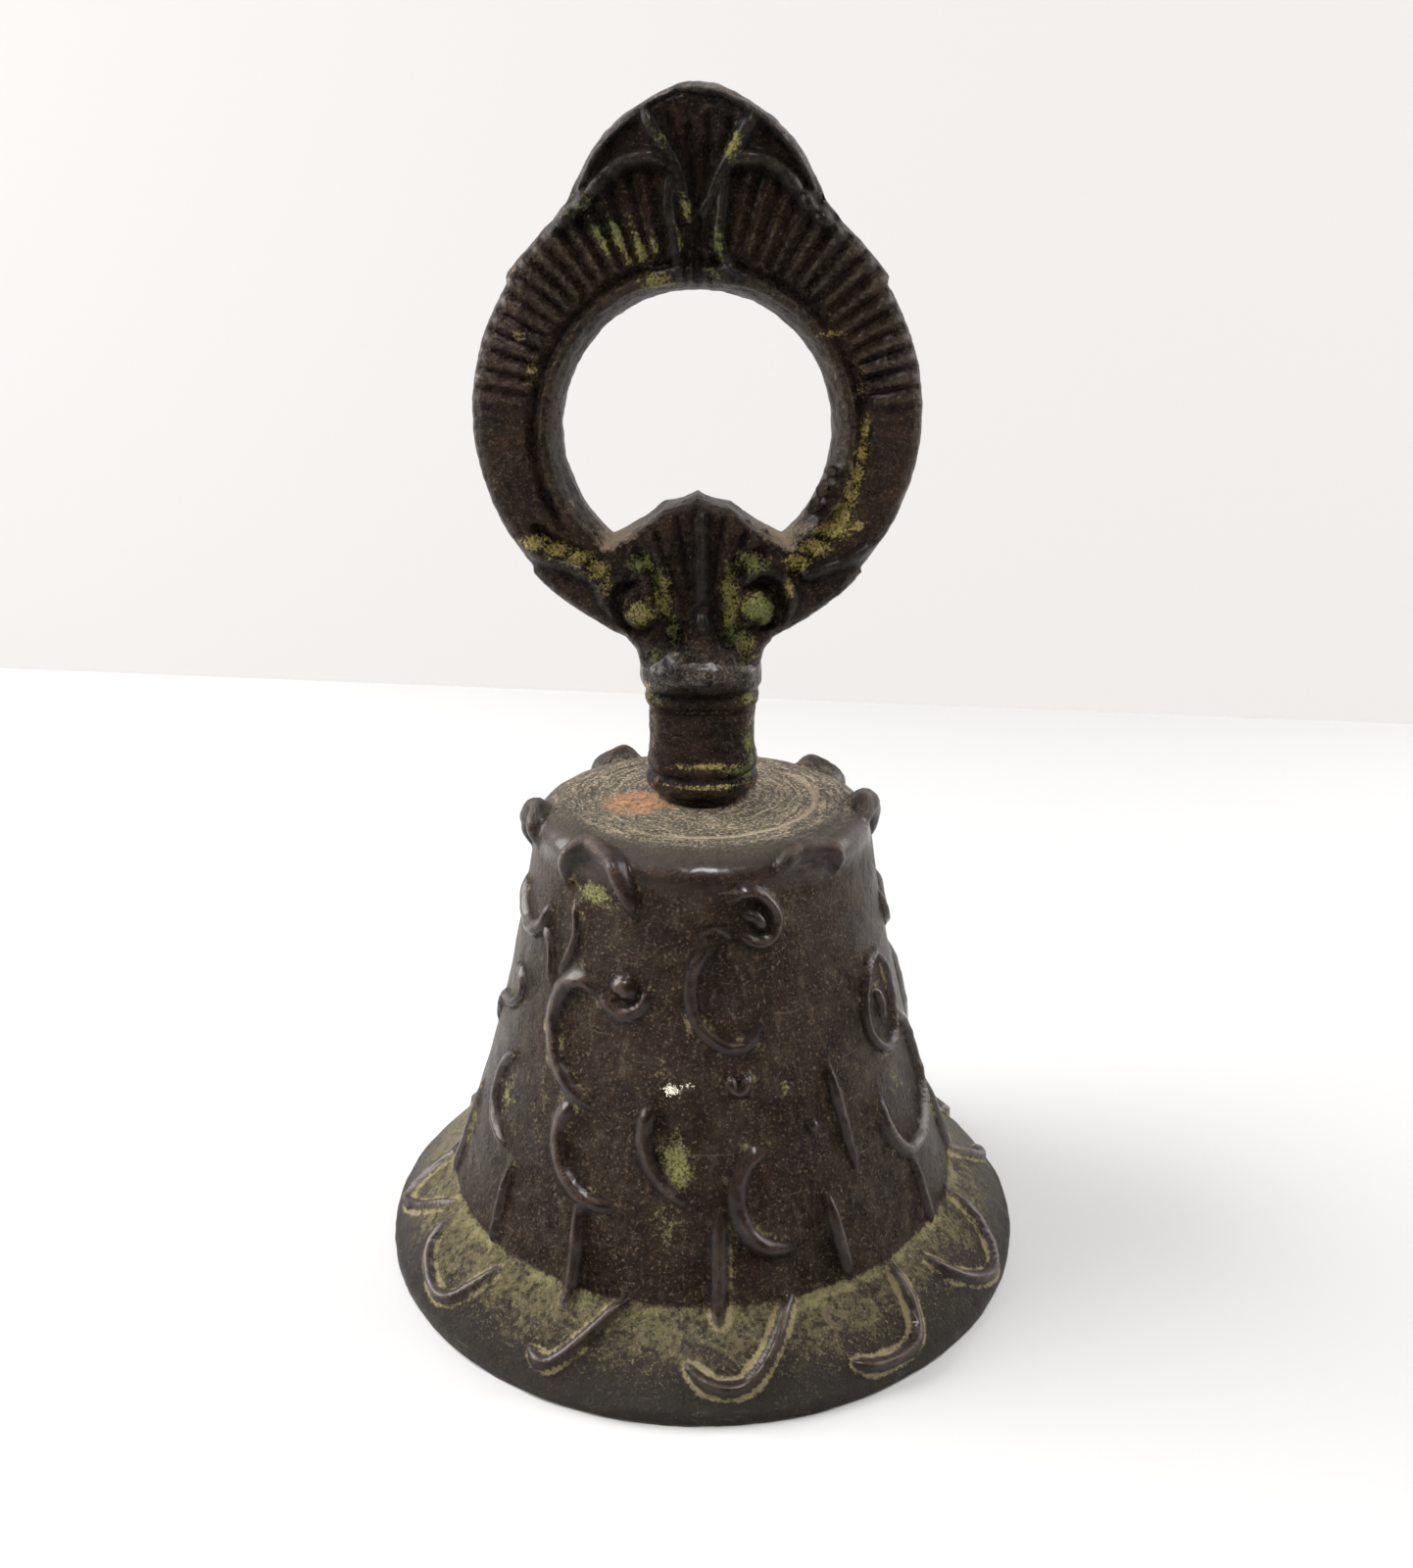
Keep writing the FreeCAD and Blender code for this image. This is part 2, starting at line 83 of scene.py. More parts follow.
def body_outline():
    inner_shoulder = (shoulder[0] - wall, crown_underside - 2.1)
    inner_edge = (inner_shoulder[0] - 2.1, crown_underside)
    inner_skirt = (skirt_top[0] - 1.5, skirt_top[1] - 2.0)
    inner_foot = (waist_foot[0] - wall, waist_foot[1] + 0.2)
    stretches = [
        ((bolt_hole, crown_top), turned_disc, 0.05, 0.55), (turned_disc, crown_edge, -0.12, fine),
        (crown_edge, shoulder, -0.62, fine), (shoulder, waist_foot, 0.87, fine),
        (waist_foot, skirt_top, 0.12, 0.25), (skirt_top, rim_top, -0.28, fine),
        (rim_top, rim_outside, -0.22, 0.3), (rim_outside, rim_bottom, -0.2, 0.3),
        (rim_bottom, rim_land, 0.0, 0.8), (rim_land, inner_skirt, 0.0, coarse),
        (inner_skirt, inner_foot, 0.0, coarse), (inner_foot, inner_shoulder, -0.85, coarse),
        (inner_shoulder, inner_edge, 0.6, 0.8), (inner_edge, (bolt_hole, crown_underside), 0.0, coarse),
        ((bolt_hole, crown_underside), (bolt_hole, crown_top), 0.0, coarse),
    ]
    return [point for a, b, bulge, spacing in stretches for point in stretch(a, b, bulge, spacing)]


outer_profile = sorted((z, r) for r, z in [*stretch(crown_edge, shoulder, -0.62, fine),
                                           *stretch(shoulder, waist_foot, 0.87, fine),
                                           *stretch(waist_foot, skirt_top, 0.12, 0.25),
                                           *stretch(skirt_top, rim_top, -0.28, fine), rim_top])
profile_heights = np.array([z for z, r in outer_profile])
profile_radii = np.array([r for z, r in outer_profile])


def on_body(angle, height):
    """Point on the body's outside."""
    radius = float(np.interp(height, profile_heights, profile_radii))
    turn = math.radians(angle)
    return Vector((radius * math.sin(turn), -radius * math.cos(turn), height))


# ---- ornament: wax threads laid on the model before casting
# Each is a run of (angle, height), then its half width and height.  lean is the side, seen along the
# run, whose slope is drawn out: +1 left, -1 right, 0 for an even round thread.
def thread(run, half_width, rise, lean=0, start=0.35, end=0.35):
    return {"run": run, "half_width": half_width, "rise": rise, "lean": lean, "start": start, "end": end}


def threads(*rows):
    return [thread(*row) for row in rows]


hooks = threads(
    ([(-88, 9), (-87, 5), (-84.5, 2.9), (-78, 4.2), (-69.6, 7)], 0.62, 0.62),
    ([(-65.7, 6.9), (-64.5, 4.6), (-59.2, 3.3), (-53.8, 2.9), (-49.5, 3.8), (-44.5, 6.7)],
     0.66, 0.7),
    ([(-30.9, 3.5), (-27.3, 2.9), (-24.1, 3.8), (-19.5, 5.9), (-14.9, 7.7)], 0.7, 0.75),
    ([(-2.7, 4.4), (1.2, 3.2), (6.4, 3), (10.5, 4.2), (14.5, 6), (18.3, 7.9)], 0.72, 0.78),
    ([(25.8, 3.1), (29.6, 2.4), (35.5, 2.3), (39.2, 2.9), (41.5, 4.6), (42.6, 7.2)], 0.72, 0.78),
    ([(51, 6.4), (55.1, 4.2), (60.9, 2.5), (66, 2.3), (70.8, 4.4), (73, 7.9)], 0.72, 0.72),
    ([(88, 8), (90.4, 6.6), (94, 4.9), (97.9, 3.2), (103, 2.6)], 0.62, 0.6),
    ([(112, 4.4), (117, 2.8), (123, 3.1), (128, 4.6), (133, 7.4)], 0.68, 0.7),
    ([(140, 3.6), (146, 2.7), (151, 3.5), (155, 5), (161, 7.6)], 0.66, 0.7),
    ([(170, 5.2), (172.5, 3.2), (178, 2.6), (183, 4), (189, 7.4)], 0.7, 0.72),
    ([(198, 4), (203, 2.7), (208, 3.2), (213, 5), (218, 7.6)], 0.68, 0.7),
    ([(228, 5.6), (231, 3.4), (236, 2.6), (241, 3.9), (247, 7.3)], 0.7, 0.7),
)
spears = threads(
    ([(-80.8, 17.8), (-80.6, 12.5), (-80.4, 7.2)], 0.6, 0.5, 0, 0.9, 0.25),
    ([(-51.6, 16.3), (-51.4, 12), (-51.2, 7.7)], 0.68, 0.62, 0, 0.9, 0.25),
    ([(-28.7, 15.4), (-28, 11), (-27.5, 6.3)], 0.82, 0.72, 0, 0.8, 0.3),
    ([(3.9, 16.6), (3.7, 11.5), (3.3, 6.4)], 0.82, 0.72, 0, 0.8, 0.3),
    ([(29.7, 15.8), (31, 12), (32, 7.7)], 0.74, 0.66, 0, 0.7, 0.5),
    ([(59.8, 15), (59.7, 11), (59.6, 7.5)], 0.66, 0.6, 0, 0.9, 0.3),
    ([(35.2, 27.9), (37, 22.5), (39, 16.9)], 0.62, 0.55, 0, 0.8, 0.7),
    ([(88, 16.6), (88.5, 12), (89, 7.6)], 0.7, 0.6, 0, 0.8, 0.3),
    ([(118, 15.6), (118.4, 11), (119, 7.2)], 0.7, 0.62, 0, 0.9, 0.3),
    ([(147, 16.4), (147, 11.5), (146.4, 7)], 0.74, 0.66, 0, 0.8, 0.3),
    ([(176, 15.4), (176.4, 11), (177, 6.8)], 0.76, 0.66, 0, 0.8, 0.3),
    ([(207, 16.2), (206.4, 11.5), (206, 7.4)], 0.74, 0.66, 0, 0.8, 0.3),
    ([(236, 15.8), (235.6, 11), (235.4, 7.2)], 0.7, 0.6, 0, 0.8, 0.3),
)
front_scrolls = threads(
    ([(2.6, 40.2), (-1.6, 38.2), (-2.9, 35.6), (-0.7, 33), (5, 31.2), (11.1, 30.9), (16.3, 32.8)],
     0.5, 0.42, -1),
    ([(8.8, 44.2), (13.5, 44.9), (18.9, 44.4), (23.2, 42.6), (21.8, 40.6), (16.4, 40.1), (11.6, 41.2)],
     0.62, 0.6),
    ([(13, 42.9), (16.6, 42.5), (18.6, 41.6)], 0.7, 0.55, 0, 0.8, 0.3),
    ([(-0.6, 41.2), (3.6, 41.9), (8.2, 41.1)], 0.42, 0.26),
    ([(66.3, 34.9), (58.6, 34.6), (53.5, 32.3), (52.4, 29.2), (56.4, 26.6), (62.5, 25.5),
      (67, 26.8), (69.5, 30), (68.5, 33), (65, 34.8)], 0.48, 0.55),
    ([(60.2, 31.6), (61.8, 29.9), (61, 28.6)], 0.55, 0.5),
    ([(69.5, 27.9), (76.5, 25.4), (79, 21.5), (76, 17.6), (68.5, 15.6), (60, 15.2), (55, 16.8),
      (52.2, 19.2), (51.8, 21.6)], 0.66, 0.66, 1, 0.5, 0.3),
    ([(-31.5, 34.6), (-36.5, 35.2), (-42.3, 34.2), (-45.4, 31.9), (-44.2, 29.2), (-41.1, 27),
      (-34.8, 25), (-27.6, 24)], 0.78, 0.66, -1, 0.3, 0.7),
    ([(-29.6, 34.8), (-27.2, 33.9), (-22.5, 33.3), (-17.6, 34.1), (-15.6, 35.6)], 0.5, 0.36, -1),
    ([(-24.6, 35.6), (-22.4, 36), (-21.2, 35.2)], 1.05, 0.85, 0, 0.2, 0.2),
    ([(-34.3, 23.9), (-37.2, 21.4), (-35.8, 18.6), (-31.6, 16.7), (-26, 15.6), (-19.2, 15.7)],
     0.74, 0.62, -1, 0.3, 0.6),
    ([(-12.4, 25.2), (-14, 22.6), (-12, 19.9), (-7.8, 18), (-3.6, 16.8)], 0.62, 0.5, -1),
    ([(15.6, 21.2), (10.6, 19.8), (8.4, 17.2), (9.8, 14.4), (13.6, 12.6), (19.4, 12.1)],
     0.7, 0.58, -1),
    ([(-61.6, 24.6), (-66, 22.5), (-66.9, 19.6), (-62.8, 17.4), (-56.6, 16.2)], 0.56, 0.5, -1),
    ([(-84, 24.4), (-81.5, 27.6), (-74.3, 28.2), (-67.2, 29.3), (-63.9, 31), (-67.2, 32.6), (-73, 32)],
     0.48, 0.45),
    ([(-80.9, 40.6), (-74.5, 38.2), (-65.6, 37.2), (-58, 38.4), (-55.2, 40.6)], 0.62, 0.6, 1),
    ([(-56.2, 38.6), (-51.5, 36.9), (-49.6, 33.9)], 0.5, 0.42),
    ([(-43, 42.1), (-41.4, 39.4), (-43.6, 36.9), (-46.6, 34.9)], 0.5, 0.42, 0, 0.3, 0.8),
    ([(7, 27.9), (8.2, 26.8), (10.6, 26.8), (11.8, 27.9)], 0.62, 0.62, 0, 0.2, 0.2),
    ([(28, 22.4), (29.4, 22.1)], 0.6, 0.34, 0, 0.2, 0.2),
    ([(82, 38.5), (85.5, 35.6), (92, 34.9), (97, 36.9), (96.5, 39.4)], 0.56, 0.55, 1),
)
back_scrolls = threads(
    ([(124, 40.2), (120.2, 36), (122.4, 32.8), (128, 31.2), (134.4, 31.4), (138.8, 33)],
     0.52, 0.46, -1),
    ([(134, 44.2), (140.4, 44.9), (146.2, 43.2), (145, 40.7), (139, 40.2)], 0.62, 0.6),
    ([(160, 34.8), (153.5, 35.2), (148.3, 32.2), (149.6, 28.4), (156.6, 25.6), (165.2, 24.2)],
     0.76, 0.64, -1, 0.3, 0.7),
    ([(172, 40.6), (176.5, 38), (184, 37.2), (190.5, 38.8)], 0.6, 0.56, 1),
    ([(190.6, 31.5), (184.8, 30), (182.6, 26.6), (186.8, 23.8), (193.4, 23.2)], 0.6, 0.56, -1),
    ([(206.4, 38.4), (201.5, 36.4), (199.6, 33), (203.4, 30.2), (209.6, 29.4), (215, 31.4)],
     0.58, 0.52, -1),
    ([(103, 30.2), (98, 27.4), (97.6, 23.6), (102.4, 20.9), (109, 20.6)], 0.66, 0.6, -1),
    ([(130.6, 24.4), (125.6, 22.2), (125.2, 18.7), (129.6, 16.2), (135.6, 15.6)], 0.62, 0.56, -1),
    ([(166.4, 20.8), (161, 19.2), (159.2, 16.2), (163.4, 13.6), (169.6, 13.4)], 0.64, 0.56, -1),
    ([(222.6, 25.6), (217.6, 23), (217.2, 19.2), (221.8, 16.7), (228.4, 16.4)], 0.64, 0.58, -1),
    ([(236.6, 42.4), (229.8, 42.8), (225.2, 40.2), (227.2, 37.2), (233.4, 36.6)], 0.6, 0.58),
    ([(244, 33), (240.4, 30), (243.4, 26.6), (249.4, 25.4)], 0.56, 0.5, -1),
    ([(171, 29.4), (173, 28.6), (175, 29.2)], 0.8, 0.7, 0, 0.2, 0.2),
    ([(110, 36), (112, 35.2), (114, 35.8)], 0.8, 0.7, 0, 0.2, 0.2),
    ([(196, 45), (201, 43.6), (207, 44.4)], 0.5, 0.4),
)
knobs = threads(
    ([(-47.5, 43.9), (-47, 46), (-42.6, 47.3), (-35.8, 47.3), (-29, 46.7), (-24.6, 45),
      (-21, 42.6)], 1.05, 1.15, 0, 0.5, 0.6),
    ([(25.5, 46.6), (31, 47.35), (39, 47.4), (45.8, 46.9), (48.2, 45.3)],
     1, 1.1, 0, 0.5, 0.4),
    ([(79, 46.9), (86, 47.4), (94, 47.1), (99, 45.2), (98.5, 43.2)], 1.1, 1.25, 0, 0.5, 0.5),
    ([(-90, 43.4), (-90.4, 45.4), (-85, 47.1), (-78, 47), (-73.5, 45.2)],
     1.05, 1.2, 0, 0.5, 0.6),
    ([(122, 45), (125.5, 46.9), (133, 47.4), (140, 46.6)], 1.05, 1.2, 0, 0.5, 0.5),
    ([(166, 44.6), (169.5, 46.9), (177, 47.4), (184.5, 46.4)], 1.05, 1.2, 0, 0.5, 0.5),
    ([(206, 45.6), (210, 47.2), (217.5, 47.3), (223.5, 45.6)], 1.1, 1.25, 0, 0.5, 0.5),
)


def unit(value):
    """The value, held between 0 and 1."""
    return max(0.0, min(1.0, value))


def smooth_run(points, spacing):
    """Points along a smooth line through the given ones, and how far along each lies, from 0 to 1."""
    padded = [points[0] * 2 - points[1], *points, points[-1] * 2 - points[-2]]
    line = []
    for a, b, c, d in zip(padded, padded[1:], padded[2:], padded[3:]):
        steps = max(2, int((c - b).length / spacing))
        for n in range(steps):
            t = n / steps
            line.append(((2 * b) + (c - a) * t + (2 * a - 5 * b + 4 * c - d) * t * t
                         + (3 * b - a - 3 * c + d) * t * t * t) / 2)
    line.append(points[-1])
    return line


def snap_to_body(point):
    """The point moved straight in or out to the body's outside."""
    angle = math.degrees(math.atan2(point.x, -point.y))
    return on_body(angle, point.z)


class Relief:
    """What the ornament does to each vertex of a piece: how far it rises, and how near it is to a ridge."""

    def __init__(self, points, normals):
        self.normals = normals
        self.tree = KDTree(len(points))
        for n, point in enumerate(points):
            self.tree.insert(point, n)
        self.tree.balance()
        self.rise = np.zeros(len(points))
        self.sink = np.zeros(len(points))
        self.crest = np.zeros(len(points))
        self.foot = np.zeros(len(points))

    def lay(self, strip, line, foot_reach):
        """Raises, or with a negative rise sinks, the surface along one line."""
        count = len(line) - 1
        for n, point in enumerate(line):
            along = n / count
            ends = min(1.0, (along + 0.02) / max(strip["start"] * 0.5, 0.02),
                       (1.02 - along) / max(strip["end"] * 0.5, 0.02))
            swell = math.sin(min(1.0, ends) * math.pi / 2) ** 0.7
            wobble = 1 + 0.1 * noise.noise(point * 0.9)
            half_width = strip["half_width"] * (0.45 + 0.55 * swell) * wobble
            rise = strip["rise"] * swell * wobble
            ahead = line[min(n + 1, count)] - line[max(n - 1, 0)]
            drawn_out = half_width * 1.9
            reach = drawn_out if strip["lean"] else half_width
            for found, index, distance in self.tree.find_range(point, reach + foot_reach):
                side = ahead.cross(found - point).dot(self.normals[index]) * strip["lean"]
                width = drawn_out if side > 0 else half_width
                x = distance / width
                if x < 1:
                    lift = (1 - x * x) ** (1.3 if side > 0 else 0.8)
                    if rise < 0:
                        self.sink[index] = min(self.sink[index], rise * lift)
                        self.foot[index] = max(self.foot[index], lift * swell)
                        continue
                    self.rise[index] = max(self.rise[index], rise * lift)
                    self.crest[index] = max(self.crest[index], lift * swell)
                beyond = max(0.0, distance - width * 0.92) / foot_reach
                if beyond < 1 and rise > 0:
                    self.foot[index] = max(self.foot[index], (1 - beyond) ** 1.5 * min(1, swell * 1.2))


# ---- meshes
def finished(bm, name):
    """A closed bmesh in millimetres becomes a smooth-shaded object in metres."""
    bmesh.ops.scale(bm, vec=(MM, MM, MM), verts=bm.verts)
    mesh = bpy.data.meshes.new(name)
    bm.to_mesh(mesh)
    bm.free()
    for face in mesh.polygons:
        face.use_smooth = True
    piece = bpy.data.objects.new(name, mesh)
    bpy.context.scene.collection.objects.link(piece)
    return piece


def store(piece, name, values):
    """Keeps one number per vertex on a piece, for its material."""
    attribute = piece.data.attributes.new(name, "FLOAT", "POINT")
    attribute.data.foreach_set("value", np.asarray(values, dtype=np.float32))


def spun(bm, outline, axis, centre, steps):
    """Closed ring of an outline of points, turned once round an axis."""
    verts = [bm.verts.new(point) for point in outline]
    edges = [bm.edges.new((a, b)) for a, b in zip(verts, verts[1:] + verts[:1])]
    bmesh.ops.spin(bm, geom=verts + edges, axis=axis, cent=centre, steps=steps, angle=math.tau,
                   use_merge=True)
    bmesh.ops.remove_doubles(bm, verts=bm.verts, dist=1e-4)
    bmesh.ops.recalc_face_normals(bm, faces=bm.faces)


def layered_noise(point, scale, octaves=3):
    return noise.fractal(point * scale, 1.0, 2.0, octaves)


def painted(points, patches):
    """Strength of listed patches at each point: (x, z) centre, half width, half height, strength."""
    strength = np.zeros(len(points))
    for x, z, wide, high, amount in patches:
        off = ((points[:, 0] - x) / wide) ** 2 + ((points[:, 1] - z) / high) ** 2
        strength = np.maximum(strength, amount * np.exp(-off))
    return strength


def make_bell_shell():
    bm = bmesh.new()
    spun(bm, [(r, 0, z) for r, z in body_outline()], (0, 0, 1), (0, 0, 0), turns)
    bm.verts.ensure_lookup_table()
    bm.normal_update()
    points = [v.co.copy() for v in bm.verts]
    normals = [v.normal.copy() for v in bm.verts]
    inside = np.array([
        (n.z <= 0.02 and n.x * p.x + n.y * p.y < 0) or p.z < 0.3 or p.xy.length < bolt_hole + 0.1
        or (n.z < -0.5 and p.z > 20) for p, n in zip(points, normals)])
    relief = Relief(points, normals)
    for strip in hooks + spears + front_scrolls + back_scrolls + knobs:
        line = [snap_to_body(p) for p in smooth_run([on_body(*p) for p in strip["run"]], 0.22)]
        relief.lay(strip, line, 1.1)
    for n, vert in enumerate(bm.verts):
        p = points[n]
        if inside[n]:
            vert.co = p + normals[n] * 0.1 * layered_noise(p, 0.35)
            vert.co.z = max(vert.co.z, 0.0)
            continue
        relief.rise[n] *= ridge_gain
        waver = 0.16 * noise.noise(p * 0.16) + 0.07 * layered_noise(p + Vector((9, 3, 1)), 0.55)
        radius = p.xy.length
        on_crown = p.z > crown_top - 1
        groove = -0.16 * math.exp(-((radius - turned_disc[0]) / 0.28) ** 2) if on_crown else 0
        settled = 0.0 if on_crown and radius < 7 else 1.0
        vert.co = p + normals[n] * (relief.rise[n] + waver * settled + groove)
    for values in (relief.rise, relief.crest, relief.foot):
        values[inside] = 0
    piece = finished(bm, "bell_shell")
    store(piece, "crest", relief.crest)
    store(piece, "foot", relief.foot)
    store(piece, "inside", inside)
    angles = np.array([[math.degrees(math.atan2(p.x, -p.y)), p.z] for p in points])
    for name, patches in (("green", green_on_body), ("ochre", ochre_on_body), ("bright", painted_glints_on_body)):
        store(piece, name, np.where(inside, 0, painted(angles, patches)))
    return piece


# Patches of deposit on the body, and bright spots that are painted glints: (angle, height), half extents,
# strength.
green_on_body = [
    (-36, 43.6, 9, 1.4, 1.3), (-22, 43.2, 5, 1.6, 0.6), (-6, 20, 5, 3.4, 1.25), (-8, 15, 8, 5, 0.6),
    (-7, 10.5, 9, 3, 0.5), (-40, 29, 4, 4, 0.45), (-31, 20, 4, 3, 0.45), (-60, 21, 6, 4, 0.8),
    (-70, 30, 5, 3, 0.8), (-52, 12, 3, 3, 0.5), (62, 22, 6, 3, 0.7), (58, 30, 4, 4, 0.5),
    (-74, 22, 7, 6, 0.7), (-80, 34, 6, 6, 0.6), (-60, 35.5, 4, 2, 0.6), (78, 34, 6, 4, 0.6),
    (85, 14, 7, 4, 0.8), (-78, 13, 7, 4, 0.8), (22, 26.4, 1.8, 1.2, 0.9), (130, 22, 7, 4, 0.7),
    (152, 31, 6, 4, 0.7), (186, 27, 6, 4, 0.6), (206, 34, 6, 3, 0.7), (222, 21, 7, 4, 0.7),
    (-150, 12, 9, 4, 0.5), (-120, 30, 8, 6, 0.5), (110, 12, 10, 4, 0.5), (-175, 42, 12, 3, 0.4),
    (160, 18, 8, 3, 0.5), (-140, 22, 8, 5, 0.6), (-105, 40, 7, 4, 0.5), (-95, 18, 8, 6, 0.7),
    (100, 24, 8, 4, 0.6),
]
ochre_on_body = [
    (-10, 27.6, 5, 3.4, 0.75), (-14, 31, 5, 4, 0.45), (-9, 36, 2.8, 9, 0.6),
    (-8, 13.5, 3, 6, 0.75), (-4, 25.6, 6, 1.6, 0.6), (-16, 38.6, 4, 4.5, 0.35),
    (-27, 19, 3.5, 1.8, 0.55), (-20, 23, 6, 2, 0.3), (14, 38, 8, 6, 0.16), (-45, 22, 7, 5, 0.75),
    (-38, 30, 6, 5, 0.6), (175, 24, 7, 4, 0.5), (120, 34, 8, 5, 0.4), (-130, 38, 8, 5, 0.4),
    (150, 14, 8, 3, 0.4), (-160, 28, 7, 4, 0.5),
]
# painted highlights: spots given a near-white metallic glint
painted_glints_on_body = [(-7.5, 26.9, 3.4, 0.75, 1.0), (-3.5, 27.4, 2.6, 0.35, 0.8), (168, 25, 3, 0.7, 0.9)]

shell = make_bell_shell()
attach(shell, "bell")
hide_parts("bell_body")


# ---- ring handle
hole_height, hole_radius = 83.9, 12.3
handle_lean = -0.4               # how far the ring stands to the left of the axis
ring_height, ring_radius = 85.1, 20.35
collar_foot = crown_top + 0.8
# Right-hand edge of the crest and of the neck under the ring, and the leaf point inside the hole.
crest_edge = [(0, 113.0), (1.6, 112.75), (3.9, 111.6), (6.1, 110.3), (8.4, 108.2), (9.8, 105.9),
              (10.9, 103.9), (12.5, 101.9), (14.8, 99.75), (16.8, 97.4)]
neck_edge = [(15.5, 71.3), (12.6, 68.4), (9.4, 66.3), (6.6, 64.8), (5.4, 63.4), (5.0, 61.4), (0, 60.4)]
leaf_edge = [(7.6, 74.3), (5.2, 75.5), (2.6, 77.3), (0, 78.4)]


def polar(x, z):
    return math.degrees(math.atan2(z - hole_height, x)), math.hypot(x, z - hole_height)


def edge_table(named_points, circle_height, radius):
    """Distance from the hole's centre at each whole degree from -90 to 90, by way of the named points."""
    marks = sorted(polar(*p) for p in named_points)
    low, high = marks[0][0], marks[-1][0]
    table = []
    for degree in range(-90, 91):
        turn = math.radians(degree)
        drop = circle_height - hole_height
        circle = drop * math.sin(turn) + math.sqrt(radius**2 - (drop * math.cos(turn))**2)
        inside_marks = low <= degree <= high
        table.append(np.interp(degree, *zip(*marks)) if inside_marks else circle)
    return np.array(table)


outer_reach = edge_table(crest_edge, ring_height, ring_radius)
lower_reach = edge_table(neck_edge, ring_height, ring_radius)
outer_reach[:90] = lower_reach[:90]
hole_reach = edge_table(leaf_edge, hole_height, hole_radius)


def reach_at(table, x, z):
    degree = math.degrees(math.atan2(z - hole_height, abs(x)))
    return float(np.interp(degree, range(-90, 91), table))


def ring_plate(bm):
    """The ring with its crest and neck: a rounded section spun round the hole, then drawn to the edges."""
    near, far, middle = 10.0, 20.0, 15.0
    half = [(near, 1.2), (near + 0.22, 2.6), (near + 0.75, 3.55), (near + 1.5, 3.95), (near + 2.6, 4.05),
            (middle, 4.05), (far - 2.4, 4.0), (far - 1.3, 3.85), (far - 0.6, 3.3), (far - 0.2, 2.3),
            (far, 1.0)]
    outline = [(r, y) for r, y in half] + [(r, -y) for r, y in reversed(half)]
    spun(bm, [(r, y, hole_height) for r, y in outline], (0, 1, 0), (0, 0, hole_height), 360)
    for vert in bm.verts:
        x, z = vert.co.x, vert.co.z - hole_height
        reach = math.hypot(x, z)
        inner, outer = reach_at(hole_reach, x, z + hole_height), reach_at(outer_reach, x, z + hole_height)
        if reach < middle - 0.5:
            wanted = inner + reach - near
        elif reach > middle + 0.5:
            wanted = outer - (far - reach)
        else:
            wanted = (inner + outer) / 2
        vert.co.x, vert.co.z = x / reach * wanted, hole_height + z / reach * wanted


def squared_stem(bm):
    """Stem with its foot and collar, turned, then squared between the collar and the knuckle."""
    outline = [
        (0.01, crown_top), (4.5, crown_top), (4.6, collar_foot - 0.1), (4.9, collar_foot), (5.35, 49.75),
        (5.5, 50.3), (5.5, 50.85), (5.25, 51.15), (5.0, 51.4), (5.02, 51.7), (5.3, 51.95), (5.42, 52.3),
        (5.4, 52.75), (5.2, 53.1), (5.12, 54.5), (5.12, 57.2), (5.2, 57.6), (4.75, 57.95), (5.2, 58.3),
        (5.5, 58.8), (5.5, 59.2), (4.85, 59.6), (5.45, 60.05), (5.8, 60.7), (5.85, 61.6), (5.6, 62.6),
        (5.2, 63.6), (4.4, 64.8), (0.01, 65.4),
    ]
    spun(bm, [(r, 0, z) for r, z in outline], (0, 0, 1), (0, 0, 0), 96)
    for vert in bm.verts:
        lift = unit((vert.co.z - 51.5) / 1.5)
        reach = vert.co.xy.length
        if reach > 1:
            power = 2 + 1.6 * lift
            c, s = abs(vert.co.x) / reach, abs(vert.co.y) / reach
            stretch_out = (c**power + s**power) ** (-1 / power)
            vert.co.x *= stretch_out
            vert.co.y *= stretch_out * (1 - 0.12 * lift)


def blob(bm, centre, radii, tilt=0.0):
    """Rounded lump, tilted in the plane of the ring."""
    made = bmesh.ops.create_uvsphere(bm, u_segments=24, v_segments=16, radius=1.0)["verts"]
    bmesh.ops.scale(bm, vec=radii, verts=made)
    bmesh.ops.rotate(bm, cent=(0, 0, 0), matrix=Matrix.Rotation(math.radians(tilt), 3, "Y"), verts=made)
    bmesh.ops.translate(bm, vec=centre, verts=made)


skin_voxel = 0.235               # cell of the handle's skin


def remeshed(bm, voxel):
    """One closed skin round all the overlapping forms in a bmesh."""
    bmesh.ops.scale(bm, vec=(MM, MM, MM), verts=bm.verts)
    mesh = bpy.data.meshes.new("casting")
    bm.to_mesh(mesh)
    source = bpy.data.objects.new("casting", mesh)
    bpy.context.scene.collection.objects.link(source)
    remesh = source.modifiers.new("skin", "REMESH")
    remesh.mode = "VOXEL"
    remesh.voxel_size = voxel * MM
    skin = bpy.data.meshes.new_from_object(source.evaluated_get(bpy.context.evaluated_depsgraph_get()))
    bpy.data.objects.remove(source)
    bm.clear()
    bm.from_mesh(skin)
    bmesh.ops.scale(bm, vec=(1 / MM, 1 / MM, 1 / MM), verts=bm.verts)


